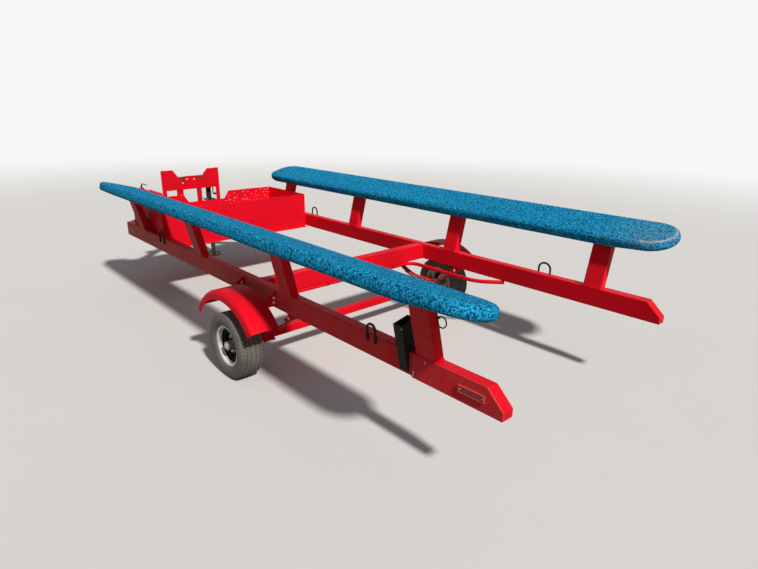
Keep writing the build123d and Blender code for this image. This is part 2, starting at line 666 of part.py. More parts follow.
def hub(side):
    """Hub barrel with its flange behind the disc and a plain cap in front."""
    disc_back = RIM_WIDTH / 2 - DISC_DEPTH - DISC_SHEET
    inner_end = AXLE_HALF + HUB_END_GAP - WHEEL_X
    cap_end = disc_back + DISC_SHEET + HUB_CAP_LENGTH
    body = Pos((inner_end + disc_back) / 2, 0, 0) * Rot(0, 90, 0) * Cylinder(HUB_R, disc_back - inner_end)
    body += Pos(disc_back - HUB_FLANGE / 2, 0, 0) * Rot(0, 90, 0) * Cylinder(HUB_FLANGE_R, HUB_FLANGE)
    body += Pos((disc_back + cap_end) / 2, 0, 0) * Rot(0, 90, 0) * Cylinder(HUB_CAP_R, cap_end - disc_back)
    body = fillet(body.edges().group_by(Axis.X)[-1], 6.0)
    spindle_end = AXLE_HALF + SPINDLE_LENGTH + HUB_END_GAP - WHEEL_X
    bore = spindle_end - inner_end
    body -= Pos((inner_end + spindle_end) / 2, 0, 0) * Rot(0, 90, 0) * Cylinder(SPINDLE_R + RUN, bore)
    return body if side > 0 else mirror(body, Plane.YZ)


# Fenders

def fender(side):
    """Rolled crown and skirt turned about an axis below the hub, with two arms to the rail."""
    out = FENDER_OUT
    sheet = FENDER_SHEET
    r = FENDER_SHOULDER_R
    inner_r = r - sheet
    crown = FENDER_CROWN_R
    skirt = FENDER_SKIRT_R
    turn = sin(radians(45))
    centre_x = out - r
    centre_r = crown - r
    outline = (Line((FENDER_IN, crown), (centre_x, crown))
               + ThreePointArc((centre_x, crown), (centre_x + r * turn, centre_r + r * turn), (out, centre_r))
               + Line((out, centre_r), (out, skirt)) + Line((out, skirt), (out - sheet, skirt))
               + Line((out - sheet, skirt), (out - sheet, centre_r))
               + ThreePointArc((out - sheet, centre_r), (centre_x + inner_r * turn, centre_r + inner_r * turn),
                               (centre_x, crown - sheet))
               + Line((centre_x, crown - sheet), (FENDER_IN, crown - sheet))
               + Line((FENDER_IN, crown - sheet), (FENDER_IN, crown)))
    shell = revolve(Rot(90, 0, 0) * make_face(outline), Axis.X, revolution_arc=FENDER_ARC)
    centre_z = AXLE_Z - FENDER_DROP
    body = Pos(0, AXLE_Y, centre_z) * Rot(-FENDER_ARC_FRONT, 0, 0) * shell
    middle = crown - sheet / 2
    reach = RAIL_OUT + (out - RAIL_OUT) / 2
    drum = Pos(reach, AXLE_Y, centre_z) * Rot(0, 90, 0) * Cylinder(middle, out - RAIL_OUT)
    high = centre_z + sqrt(middle ** 2 - ARM_STATION ** 2)
    low = high - ARM_DEPTH
    tip = FENDER_IN + ARM_REACH
    under = ((FENDER_IN, high + ARM_SHEET), (tip, high + ARM_SHEET),
             (tip, high - ARM_DEPTH / 2), (FENDER_IN, low))
    gusset = ((RAIL_OUT, RAIL_TOP - ARM_BELOW_TOP), (FENDER_IN, high),
              (FENDER_IN, low), (RAIL_OUT, low))
    for end in (-1, 1):
        y = AXLE_Y + end * ARM_STATION
        body += plate_y(under, y - ARM_SHEET / 2, y + ARM_SHEET / 2) & drum
        body += plate_y(gusset, y - ARM_SHEET / 2, y + ARM_SHEET / 2)
    return body if side > 0 else mirror(body, Plane.YZ)


# Posts and bunks

LEAN = radians(POST_LEAN)
TILT = radians(BUNK_TILT)
BUNK_Z = RAIL_TOP + BUNK_RISE


def under_bunk(x):
    """Height of the bunk's lower face over a point across the trailer."""
    drop = (BUNK_THICK / 2 + POST_SEAT_GAP) / cos(TILT)
    return BUNK_Z - drop + (x - BUNK_X) * tan(TILT)


def post(side, station):
    """Leaning tube, cut level on the rail and to the bunk's slope on top."""
    foot_in = RAIL_IN + POST_SIDE_GAP

    def outline(inset):
        low_in = foot_in + inset / cos(LEAN)
        low_out = foot_in + (POST_WIDTH - inset) / cos(LEAN)
        points = []
        for x in (low_in, low_out):
            rise = (under_bunk(x) - RAIL_TOP) / (1 - tan(TILT) * tan(LEAN))
            points.append((x, x + rise * tan(LEAN), RAIL_TOP + rise))
        return ((points[0][0], RAIL_TOP), (points[0][1], points[0][2]),
                (points[1][1], points[1][2]), (points[1][0], RAIL_TOP))

    half = POST_LENGTH / 2
    body = long_fillet(plate_y(outline(0), station - half, station + half), POST_LENGTH + 1)
    body -= plate_y(outline(TUBE_WALL), station - half + TUBE_WALL, station + half - TUBE_WALL)
    return body if side > 0 else mirror(body, Plane.YZ)


def bunk(side):
    """Wide soft board with rounded edges, a round rear end and a blunt front nose."""
    nose = BUNK_NOSE_START - (BUNK_LEFT_SHORT if side < 0 else 0)

    def section(width, thick, y, drop):
        corner = min(BUNK_EDGE_R, thick / 2 - 2)
        return Pos(0, y, -drop) * Rot(90, 0, 0) * RectangleRounded(width, thick, corner)

    round_start = BUNK_REAR + BUNK_WIDTH / 2
    thin_start = POSTS[0][1] - POST_LENGTH / 2
    rise = (BUNK_THICK - BUNK_REAR_THICK) / 2
    straight = section(BUNK_WIDTH, BUNK_THICK, nose, 0)
    body = extrude(straight, nose - thin_start)
    body += loft([section(BUNK_WIDTH, BUNK_THICK, thin_start, 0),
                  section(BUNK_WIDTH, BUNK_REAR_THICK, round_start, -rise)], ruled=True)
    half = Pos(0, round_start, rise) * Rot(90, 0, 0) * (
        RectangleRounded(BUNK_WIDTH, BUNK_REAR_THICK, BUNK_EDGE_R)
        & Pos(BUNK_WIDTH / 4, 0) * Rectangle(BUNK_WIDTH / 2, BUNK_REAR_THICK + 2))
    body += revolve(half, Axis((0, round_start, 0), (0, 0, 1)), revolution_arc=-180)
    sections = [straight]
    for ahead, width, thick, drop in BUNK_NOSE:
        sections.append(section(width, thick, nose + ahead, drop))
    body += loft(sections, ruled=True)
    body = Pos(BUNK_X, 0, BUNK_Z) * Rot(0, -BUNK_TILT, 0) * body
    return body if side > 0 else mirror(body, Plane.YZ)


# Small pieces on the rails

def loop(side, station, half, height):
    """Round bar bent over the rail's top edge, with both feet on its outer face."""
    x = RAIL_OUT + LOOP_BAR_R
    low = RAIL_TOP - LOOP_FOOT
    top = RAIL_TOP + height - LOOP_BAR_R
    path = FilletPolyline((x, station - half, low), (x, station - half, top),
                          (x, station + half, top), (x, station + half, low), radius=half * 0.95)
    bar = sweep(Plane(origin=path @ 0, z_dir=path % 0) * Circle(LOOP_BAR_R), path=path)
    return bar if side > 0 else mirror(bar, Plane.YZ)


def lamp(side, station):
    """Flat housing on the rail's outer face with a raised rim."""
    back = RAIL_OUT + (DOUBLER_SHEET if station < DOUBLER_LENGTH else 0)
    front = back + LAMP_DEPTH
    y0 = station - LAMP_LENGTH / 2
    y1 = station + LAMP_LENGTH / 2
    z1 = RAIL_TOP - LAMP_DROP + LAMP_HEIGHT / 2
    z0 = z1 - LAMP_HEIGHT
    body = block(back, front, y0, y1, z0, z1)
    body -= block(front - LAMP_RECESS, front + 1, y0 + LAMP_RIM, y1 - LAMP_RIM, z0 + LAMP_RIM, z1 - LAMP_RIM)
    return body if side > 0 else mirror(body, Plane.YZ)


def stub_socket():
    """Leaning open tube on the left rail, notched over the rail's outer top corner."""
    long = STUB_RISE + STUB_LOW + STUB_WIDTH
    tube = Box(STUB_WIDTH, STUB_LENGTH, long)
    tube -= Box(STUB_WIDTH - 2 * STUB_WALL, STUB_LENGTH - 2 * STUB_WALL, long + 2)
    tube = Pos(STUB_WIDTH / 2, 0, -long / 2) * tube
    tube = Pos(STUB_TOP_IN, STUB_STATION, RAIL_TOP + STUB_RISE) * Rot(0, STUB_LEAN, 0) * tube
    notch = block(0, RAIL_OUT, 0, RAIL_FRONT, 0, RAIL_TOP)
    low = block(0, 2 * RAIL_OUT, 0, RAIL_FRONT, 0, RAIL_TOP - STUB_LOW)
    return mirror(tube - notch - low, Plane.YZ)


def conduit():
    """Pipe under the main cross member that turns back and ends under the right rail."""
    z = RAIL_BOTTOM - CONDUIT_R - CONDUIT_GAP
    y = MAIN_CROSS_REAR + CONDUIT_SETBACK
    path = FilletPolyline((CONDUIT_R - RAIL_IN, y, z), (CONDUIT_RUN_X, y, z),
                          (CONDUIT_RUN_X, CONDUIT_TURN_Y, z),
                          (CONDUIT_END_X, CONDUIT_END_Y, z), radius=list(CONDUIT_BENDS))
    return sweep(Plane(origin=path @ 0, z_dir=path % 0) * Circle(CONDUIT_R), path=path)


# Save every piece

cross_height = (RAIL_BOTTOM, RAIL_TOP)
main_cross = (MAIN_CROSS_REAR, MAIN_CROSS_REAR + MAIN_CROSS_DEPTH)
save("crossmember_main", tube_x(-RAIL_IN, RAIL_IN, *main_cross, *cross_height))
save("crossmember_front", tube_x(-RAIL_IN, RAIL_IN, BOX_FRONT, RAIL_FRONT, *cross_height))
save("drawbar", tube_y(-DRAWBAR_WIDTH / 2, DRAWBAR_WIDTH / 2, RAIL_FRONT, DRAWBAR_END, *cross_height))
floor_height = (BOX_BOTTOM, BOX_BOTTOM + BOX_SHEET)
save("box_floor", block(-RAIL_IN, RAIL_IN, BOX_REAR + BOX_SHEET, BOX_FRONT, *floor_height))
save("box_wall_rear", box_wall_rear())
save("box_wall_front", box_wall_front())
save("headboard", headboard())
save("headboard_frame", headboard_frame())
save("coupler", coupler())
save("coupler_latch", coupler_latch())
save("jack_tube", jack_tube())
save("jack_ram", jack_ram())
save("jack_crank", jack_crank())
save("axle", axle())
save("stub_socket", stub_socket())
save("conduit", conduit())

for name, side in (("left", -1), ("right", 1)):
    save(f"rail_{name}", rail(side))
    save(f"stay_{name}", stay(side))
    wall = block(RAIL_IN - BOX_SHEET, RAIL_IN, BOX_REAR + BOX_SHEET, BOX_FRONT,
                 BOX_BOTTOM + BOX_SHEET, BOX_TOP)
    save(f"box_wall_{name}", wall if side > 0 else mirror(wall, Plane.YZ))
    save(f"spring_{name}", spring(side))
    save(f"hangers_{name}", hangers(side))
    save(f"clamp_{name}", clamp(side))
    save(f"fender_{name}", fender(side))
    at_hub = Pos(side * WHEEL_X, AXLE_Y, AXLE_Z)
    save(f"tyre_{name}", at_hub * tyre(side))
    save(f"rim_{name}", at_hub * rim(side))
    save(f"hub_{name}", at_hub * hub(side))
    save(f"bunk_{name}", bunk(side))

for place, left, right in POSTS:
    save(f"posts_{place}", Compound(children=[post(-1, left), post(1, right)]))
for place, left, right in LOOPS:
    save(f"lashing_loops_{place}", Compound(children=[loop(-1, *left), loop(1, *right)]))
for place, station in LAMPS:
    save(f"side_lamps_{place}", Compound(children=[lamp(side, station) for side in (-1, 1)]))
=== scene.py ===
import json
from math import asin, atan2, cos, hypot, pi, radians, sin

import bmesh
import bpy
from mathutils import Matrix, Vector, noise


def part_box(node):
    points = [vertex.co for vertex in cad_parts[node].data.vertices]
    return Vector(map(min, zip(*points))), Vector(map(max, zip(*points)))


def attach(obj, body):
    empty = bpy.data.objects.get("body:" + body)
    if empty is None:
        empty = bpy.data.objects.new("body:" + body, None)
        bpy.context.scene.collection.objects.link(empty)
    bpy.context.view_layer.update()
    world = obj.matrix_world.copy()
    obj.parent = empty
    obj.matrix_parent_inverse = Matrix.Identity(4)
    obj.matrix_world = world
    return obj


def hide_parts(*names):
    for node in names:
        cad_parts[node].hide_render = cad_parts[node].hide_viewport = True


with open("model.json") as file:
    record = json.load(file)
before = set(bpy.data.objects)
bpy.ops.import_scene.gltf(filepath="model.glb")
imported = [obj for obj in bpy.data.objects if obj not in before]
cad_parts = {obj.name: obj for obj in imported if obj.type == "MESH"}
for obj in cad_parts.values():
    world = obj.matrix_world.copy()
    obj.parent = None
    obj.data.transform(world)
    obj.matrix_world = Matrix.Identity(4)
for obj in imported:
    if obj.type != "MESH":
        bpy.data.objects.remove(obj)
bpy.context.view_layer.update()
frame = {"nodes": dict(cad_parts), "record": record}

bl_info = {
    "name": "Boat trailer",
    "version": (1, 0, 0),
    "blender": (4, 5, 0),
    "location": "3D View > Sidebar > Boat Trailer",
    "description": "Dresses the packed boat trailer with finishes, carpeted bunks, wheels and hardware",
    "category": "Object",
}

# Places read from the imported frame, in metres
RAIL_LOW, RAIL_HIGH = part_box("rail_right")
RAIL_IN, RAIL_REAR, RAIL_BOTTOM = RAIL_LOW
RAIL_TOP = RAIL_HIGH[2]
BOARD_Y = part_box("headboard")[0][1]
BOX_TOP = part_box("box_wall_rear")[1][2]

# Distances from the trailer's middle plane that no box gives, in metres
RAIL_X = 0.804
RAIL_FACES = (0.7730, 0.8358)
LOOP_FACE = 0.8378
DOUBLER_FACE = 0.843
JACK_X = 0.235

# Run of the posts' outer faces for each metre of height
POST_LEAN = 0.2493

BOTH = (-1, 1)
SIDES = (("left", -1), ("right", 1))
UPWARDS = (0, 0, 1)
REARWARDS = (0, -1, 0)
RED = (0.80, 0.001, 0.015, 1.0)


def station(mm):
    """Place along the trailer of a distance in millimetres from the rails' rear tips."""
    return RAIL_REAR + mm / 1000


def middle_of(node):
    """Middle of a node's box."""
    return tuple((a + b) / 2 for a, b in zip(*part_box(node)))


def metres(rows):
    """Rows of millimetres in metres."""
    return [tuple(value / 1000 for value in row) for row in rows]


WHEEL_X, AXLE_Y, AXLE_Z = middle_of("tyre_right")


# Settings

def colour(label, text, value):
    """Colour setting with its default."""
    return bpy.props.FloatVectorProperty(
        name=label, description=text, subtype="COLOR", size=4, min=0.0, max=1.0, default=value)


def share(label, text, value):
    """Setting between nothing and all."""
    return bpy.props.FloatProperty(
        name=label, description=text, subtype="FACTOR", min=0.0, max=1.0, default=value)


def length(label, text, value):
    """Length setting in metres."""
    return bpy.props.FloatProperty(
        name=label, description=text, unit="LENGTH", subtype="DISTANCE", default=value)


def angle(label, text, value):
    """Angle setting, with its default in degrees."""
    return bpy.props.FloatProperty(
        name=label, description=text, unit="ROTATION", subtype="ANGLE", default=radians(value))


def strength(label, text, value, least=0.0):
    """Plain number setting with a lower end."""
    return bpy.props.FloatProperty(name=label, description=text, min=least, default=value)


def amount(label, text, value, least, most):
    """Whole number setting."""
    return bpy.props.IntProperty(name=label, description=text, min=least, max=most, default=value)


class TrailerPaintSettings(bpy.types.PropertyGroup):
    """Colours and wear of the painted steel."""
    paint: colour("Paint", "Colour of the paint", RED)
    faded: colour("Faded Paint", "Colour of the paint in its darker patches", (0.62, 0.001, 0.011, 1.0))
    streak: colour("Brush Marks", "Colour of the brush marks in the paint", (0.90, 0.004, 0.020, 1.0))
    primer: colour("Primer", "Pale layer that shows in the chips", (0.72, 0.56, 0.52, 1.0))
    rust: colour("Rust", "Colour of rusty steel", (0.13, 0.040, 0.016, 1.0))
    # On the rails' outer faces this colour also stands for a painted sky sheen, mixed with the dust.
    dust: colour("Road Dust", "Colour of the dust on the outer faces", (0.34, 0.22, 0.18, 1.0))
    chips: share("Chips", "Share of the surface that is chipped", 0.30)
    roughness: share("Roughness", "Roughness of sound paint", 0.46)


class TrailerBunkSettings(bpy.types.PropertyGroup):
    """Shape and carpet of the two bunks."""
    centre_x: length("Distance Out", "Distance of the bunk's middle from the trailer's middle plane", 0.940)
    rise: length("Rise", "Height of the bunk's middle over the rail's top", 0.361)
    tilt: angle("Tilt", "Slope of the bunk's face towards the keel", 15)
    edge: length("Edge Radius", "Radius of the carpet round the board's edges", 0.028)
    crown: length("Crown", "Rise of the padded face between its edges", 0.004)
    hem: length("Hem", "Width of the carpet that is turned under the board", 0.078)
    yarn: colour("Yarn", "Main colour of the carpet", (0.008, 0.265, 0.560, 1.0))
    dark_fleck: colour("Dark Fleck", "Dark yarn among the main colour", (0.003, 0.014, 0.030, 1.0))
    light_fleck: colour("Light Fleck", "Light yarn among the main colour", (0.03, 0.56, 0.92, 1.0))


class TrailerWheelSettings(bpy.types.PropertyGroup):
    """Tread, rim and wheel fixings."""
    pitches: amount("Tread Pitches", "Number of tread blocks round the tyre", 54, 24, 72)
    groove: length("Groove Depth", "Depth of the tread's cross grooves", 0.0045)
    wave: length("Groove Wave", "Swing of the round grooves to each side", 0.0018)
    sweep: angle("Tread Sweep", "Angle that the cross grooves sweep back by at the shoulders", 5)
    nuts: amount("Wheel Nuts", "Number of nuts on the disc", 5, 3, 8)
    nut_circle: length("Nut Circle", "Radius that the wheel nuts stand on", 0.054)
    rubber: colour("Rubber", "Colour of the rubber", (0.060, 0.055, 0.052, 1.0))
    film: colour("Rubber Dust", "Colour of the dust on the rubber", (0.27, 0.24, 0.21, 1.0))
    rim: colour("Rim", "Colour of the silver paint", (0.84, 0.81, 0.75, 1.0))


class TrailerHardwareSettings(bpy.types.PropertyGroup):
    """Sizes of welds and fasteners."""
    weld: length("Weld Size", "Leg length of the weld beads", 0.004)
    bolt: length("Bolt Size", "Width across the flats of the bolt heads", 0.019)
    ring: length("Ring Radius", "Radius of the tie ring's middle line", 0.027)
    ring_wire: length("Ring Wire", "Radius of the tie ring's wire", 0.0032)


class TrailerStageSettings(bpy.types.PropertyGroup):
    """Floor, light and camera."""
    floor: colour("Floor", "Colour of the floor", (0.72, 0.71, 0.69, 1.0))
    bounce: colour("Floor Bounce", "Colour of the light thrown back by the floor", (0.20, 0.20, 0.19, 1.0))
    key: strength("Key Light", "Strength of the soft key light", 3.5)
    fill: strength("Fill Light", "Strength of the sky's light", 0.21)
    lens: strength("Lens", "Focal length on a 36 mm wide sensor, in millimetres", 25.59, 1.0)


# Meshes

def placed(name, data):
    """New object in the scene."""
    made = bpy.data.objects.new(name, data)
    bpy.context.scene.collection.objects.link(made)
    return made


def mesh_object(bm, name, materials):
    """New object from a finished bmesh."""
    mesh = bpy.data.meshes.new(name)
    bm.to_mesh(mesh)
    bm.free()
    for material in materials:
        mesh.materials.append(material)
    return placed(name, mesh)


def add_piece(name, slot, materials, lay, *given, body="frame", smooth=40.0):
    """New piece that rides on a body of the frame; lay builds its shape in the bmesh."""
    bm = bmesh.new()
    lay(bm, *given)
    bmesh.ops.recalc_face_normals(bm, faces=bm.faces)
    piece = mesh_object(bm, name, materials)
    piece.data.shade_smooth()
    piece.data.set_sharp_from_angle(angle=radians(smooth))
    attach(piece, body)
    return piece


def edges_of(made):
    """Edges of the shape that an operator has just made."""
    return list({e for v in made["verts"] for e in v.link_edges})


def facing(at, axis, spin=0.0):
    """Matrix that stands a shape built along Z at a point, along an axis."""
    turn = Vector(UPWARDS).rotation_difference(Vector(axis)).to_matrix().to_4x4()
    return Matrix.Translation(Vector(at)) @ turn @ Matrix.Rotation(spin, 4, "Z")


def bevel_edges(bm, edges, offset, segments=1):
    """Bevel with the editor's plain defaults."""
    bmesh.ops.bevel(bm, geom=edges, offset=offset, segments=segments, profile=0.5,
                    affect="EDGES", material=-1)


def spun(bm, outline, matrix, steps, closed=True):
    """Shape turned about Z from rows of place along it and radius, then stood by the matrix."""
    old = set(bm.verts)
    verts = [bm.verts.new((radius, 0, along)) for along, radius in outline]
    pairs = list(zip(verts, verts[1:])) + ([(verts[-1], verts[0])] if closed else [])
    edges = [bm.edges.new(pair) for pair in pairs]
    bmesh.ops.spin(bm, geom=verts + edges, cent=(0, 0, 0), axis=UPWARDS, dvec=(0, 0, 0), angle=2 * pi,
                   steps=steps, use_merge=True, use_duplicate=False)
    bmesh.ops.remove_doubles(bm, verts=[v for v in bm.verts if v not in old], dist=1e-6)
    bmesh.ops.transform(bm, matrix=matrix, verts=[v for v in bm.verts if v not in old])


def disc_piece(bm, at, axis, radius, height, segments=16, top=None, spin=0.0, soften=0.12):
    """Short round or many-sided piece on a face, with its outer edge broken."""
    made = bmesh.ops.create_cone(
        bm, cap_ends=True, cap_tris=False, segments=segments, radius1=radius,
        radius2=radius if top is None else top, depth=height,
        matrix=facing(at, axis, spin) @ Matrix.Translation((0, 0, height / 2)))
    if soften:
        normal = Vector(axis).normalized()
        crown = Vector(at) + normal * height
        edges = [e for e in edges_of(made) if all(abs((v.co - crown).dot(normal)) < 1e-5 for v in e.verts)]
        bevel_edges(bm, edges, height * soften * 2)


# Parts of a bolt's width across the flats: washer's radius and height, head's height, thread's radius
WASHER_RADIUS, WASHER_HEIGHT, HEAD_HEIGHT, THREAD_RADIUS = 0.62, 0.09, 0.42, 0.29


def hex_bolt(bm, at, axis, across, spin=0.0, thread=0.0):
    """Washer, hexagon head and the end of a thread where one shows."""
    normal = Vector(axis).normalized()
    at = Vector(at)
    disc_piece(bm, at, normal, across * WASHER_RADIUS, across * WASHER_HEIGHT, segments=18, soften=0.2)
    disc_piece(bm, at + normal * across * WASHER_HEIGHT, normal, across * 0.5 / cos(pi / 6),
               across * HEAD_HEIGHT, segments=6, spin=spin)
    if thread:
        disc_piece(bm, at + normal * across * 0.5, normal, across * THREAD_RADIUS, thread, segments=10)


def softened_box(bm, low, high, edge, matrix=None):
    """Box between two corners with its edges broken."""
    size = [b - a for a, b in zip(low, high)]
    centre = [(a + b) / 2 for a, b in zip(low, high)]
    place = (matrix or Matrix()) @ Matrix.Translation(centre) @ Matrix.Diagonal((*size, 1))
    made = bmesh.ops.create_cube(bm, size=1, matrix=place)
    bevel_edges(bm, edges_of(made), edge, 2)


def next_ring(bm, loop):
    """Extrude a closed loop of edges in place and return the new vertices and edges."""
    grown = bmesh.ops.extrude_edge_only(bm, edges=loop)
    verts = {v for v in grown["geom"] if isinstance(v, bmesh.types.BMVert)}
    edges = [e for e in grown["geom"] if isinstance(e, bmesh.types.BMEdge) and set(e.verts) <= verts]
    return list(verts), edges


# Parts of a bead's size: length of a ripple, radius at the ends, and along it
BEAD_STEP, BEAD_END, BEAD_LOW, BEAD_RISE, BEAD_STRAY = 1.1, 0.35, 0.72, 0.22, 0.18


def weld_bead(bm, start, end, size, seed=0):
    """Rippled bead along a straight seam, closed at both ends."""
    start, end = Vector(start), Vector(end)
    run = end - start
    steps = max(3, int(run.length / (size * BEAD_STEP)))
    place = facing(start, run)
    made = bmesh.ops.create_circle(bm, cap_ends=True, segments=6, radius=size * BEAD_END, matrix=place)
    loop = edges_of(made)
    for i in range(1, steps + 1):
        verts, loop = next_ring(bm, loop)
        bmesh.ops.translate(bm, vec=run / steps, verts=verts)
        centre = start + run * i / steps
        stray = noise.noise(centre * 90 + Vector((seed, 0, 0)))
        radius = BEAD_END if i == steps else BEAD_LOW + BEAD_RISE * (i % 2) + BEAD_STRAY * stray
        for v in verts:
            v.co = centre + (v.co - centre).normalized() * size * radius
    bmesh.ops.contextual_create(bm, geom=loop)


def seam_round(bm, low, high, size, axis=2):
    """Beads round the four sides of a rectangular foot; axis is the seam plane's normal."""
    a, b = [i for i in range(3) if i != axis]
    corners = []
    for u, v in ((0, 0), (1, 0), (1, 1), (0, 1)):
        p = list(low)
        p[a] = high[a] if u else low[a]
        p[b] = high[b] if v else low[b]
        corners.append(p)
    for i in range(4):
        weld_bead(bm, corners[i], corners[(i + 1) % 4], size, seed=i)


def tube_along(bm, points, radius, segments=10, closed=False):
    """Round bar along a list of points, by extruding a circle from point to point."""
    points = [Vector(p) for p in points]
    count = len(points)
    previous = first = loop = None
    for i, p in enumerate(points):
        before = points[i - 1] if i or closed else p
        after = points[(i + 1) % count] if i + 1 < count or closed else p
        matrix = facing(p, after - before)
        if loop is None:
            made = bmesh.ops.create_circle(
                bm, cap_ends=not closed, segments=segments, radius=radius, matrix=matrix)
            first = loop = edges_of(made)
        else:
            verts, loop = next_ring(bm, loop)
            for v in verts:
                v.co = matrix @ (previous.inverted() @ v.co)
        previous = matrix
    if closed:
        bmesh.ops.bridge_loops(bm, edges=loop + first)
    else:
        bmesh.ops.contextual_create(bm, geom=loop)


# Shader nodes

class Sheet:
    """Short calls that add nodes to one material or node group."""

    def __init__(self, tree):
        self.tree = tree

    def link(self, socket, value):
        """Wire a socket to another, or set its plain value."""
        if isinstance(value, bpy.types.NodeSocket):
            self.tree.links.new(value, socket)
        elif value is not None:
            socket.default_value = value

    def node(self, kind, values=None, **settings):
        """New node with its settings and inputs."""
        made = self.tree.nodes.new(kind)
        for key, value in settings.items():
            setattr(made, key, value)
        for key, value in (values or {}).items():
            self.link(made.inputs[key], value)
        return made

    def calc(self, operation, a, b=None, clamp=False):
        """Maths on one or two values."""
        made = self.node("ShaderNodeMath", operation=operation, use_clamp=clamp)
        for index, item in enumerate((a, b)):
            self.link(made.inputs[index], item)
        return made.outputs[0]

    def plus(self, a, b, clamp=False):
        return self.calc("ADD", a, b, clamp)

    def less(self, a, b, clamp=False):
        return self.calc("SUBTRACT", a, b, clamp)

    def times(self, a, b):
        return self.calc("MULTIPLY", a, b)

    def mix(self, factor, a, b):
        """Colour between two colours."""
        made = self.node("ShaderNodeMix", data_type="RGBA")
        for index, item in ((0, factor), (6, a), (7, b)):
            self.link(made.inputs[index], item)
        return made.outputs[2]

    def blend(self, factor, a, b):
        """Value between two values."""
        made = self.node("ShaderNodeMix", data_type="FLOAT")
        for index, item in ((0, factor), (2, a), (3, b)):
            self.link(made.inputs[index], item)
        return made.outputs[0]

    def span(self, value, low, high, to_low=0.0, to_high=1.0):
        """Smooth step of a value from one span to another."""
        made = self.node("ShaderNodeMapRange", interpolation_type="SMOOTHSTEP")
        for index, item in enumerate((value, low, high, to_low, to_high)):
            self.link(made.inputs[index], item)
        return made.outputs[0]

    def noise(self, vector, scale, detail=2.0, rough=0.5):
        """Soft random pattern."""
        return self.node("ShaderNodeTexNoise", {
            "Vector": vector, "Scale": scale, "Detail": detail, "Roughness": rough}).outputs["Fac"]

    def cells(self, vector, scale):
        """Pattern of random cells: distance from the cell's middle, and a colour for each."""
        return self.node("ShaderNodeTexVoronoi", {"Vector": vector, "Scale": scale}).outputs

    def stretch(self, vector, scale):
        """Place with its axes scaled one by one."""
        return self.node("ShaderNodeMapping", {"Vector": vector, "Scale": scale}).outputs[0]

    def split(self, vector):
        """The three values of a vector."""
        return self.node("ShaderNodeSeparateXYZ", {"Vector": vector}).outputs

    def first(self, tone):
        """Red channel, as a random value of its own for each cell."""
        return self.node("ShaderNodeSeparateColor", {"Color": tone}).outputs[0]

    def vector(self, operation, a, b=None):
        """Maths on one or two vectors."""
        made = self.node("ShaderNodeVectorMath", operation=operation)
        for index, item in enumerate((a, b)):
            self.link(made.inputs[index], item)
        return made.outputs["Value" if operation == "LENGTH" else "Vector"]

    def spots(self, vector, rows):
        """Ragged mask of the spots in rows of middle and reach along each axis."""
        ragged = self.times(self.noise(vector, 120.0, 3.0, 0.6), 1.1)
        found = 0.0
        for middle, reach in rows:
            away = self.vector("DIVIDE", self.vector("SUBTRACT", vector, middle), reach)
            near = self.span(self.plus(self.vector("LENGTH", away), ragged), 1.65, 1.45)
            found = self.calc("MAXIMUM", found, near)
        return found

    def group(self, tree, values):
        """Shared node group with this material's own values."""
        return self.node("ShaderNodeGroup", values, node_tree=tree).outputs

    def attribute(self, name):
        """Value that the mesh carries at its points."""
        return self.node("ShaderNodeAttribute", attribute_name=name).outputs["Fac"]


def node_group(name, colours, values, masks=()):
    """Empty shader node group of a finish, with its named sockets and a sheet to draw it on."""
    tree = bpy.data.node_groups.new(name, "ShaderNodeTree")

    def socket(label, way, kind):
        return tree.interface.new_socket(label, in_out=way, socket_type=f"NodeSocket{kind}")

    socket("Vector", "INPUT", "Vector")
    for label in colours:
        socket(label, "INPUT", "Color").default_value = RED
    for label, value in values.items():
        socket(label, "INPUT", "Float").default_value = value
    socket("Color", "OUTPUT", "Color")
    for label in ("Roughness", "Height", *masks):
        socket(label, "OUTPUT", "Float")
    sheet = Sheet(tree)
    given = sheet.node("NodeGroupInput").outputs
    return tree, sheet, given, given["Vector"], sheet.node("NodeGroupOutput").inputs


CARPET_DUST = (0.33, 0.28, 0.19, 1)
CARPET_BACKING = (0.58, 0.53, 0.40, 1)
STEEL_BLOTCH = (0.06, 0.055, 0.05, 1)
STEEL_DIRT = (0.12, 0.095, 0.07, 1)


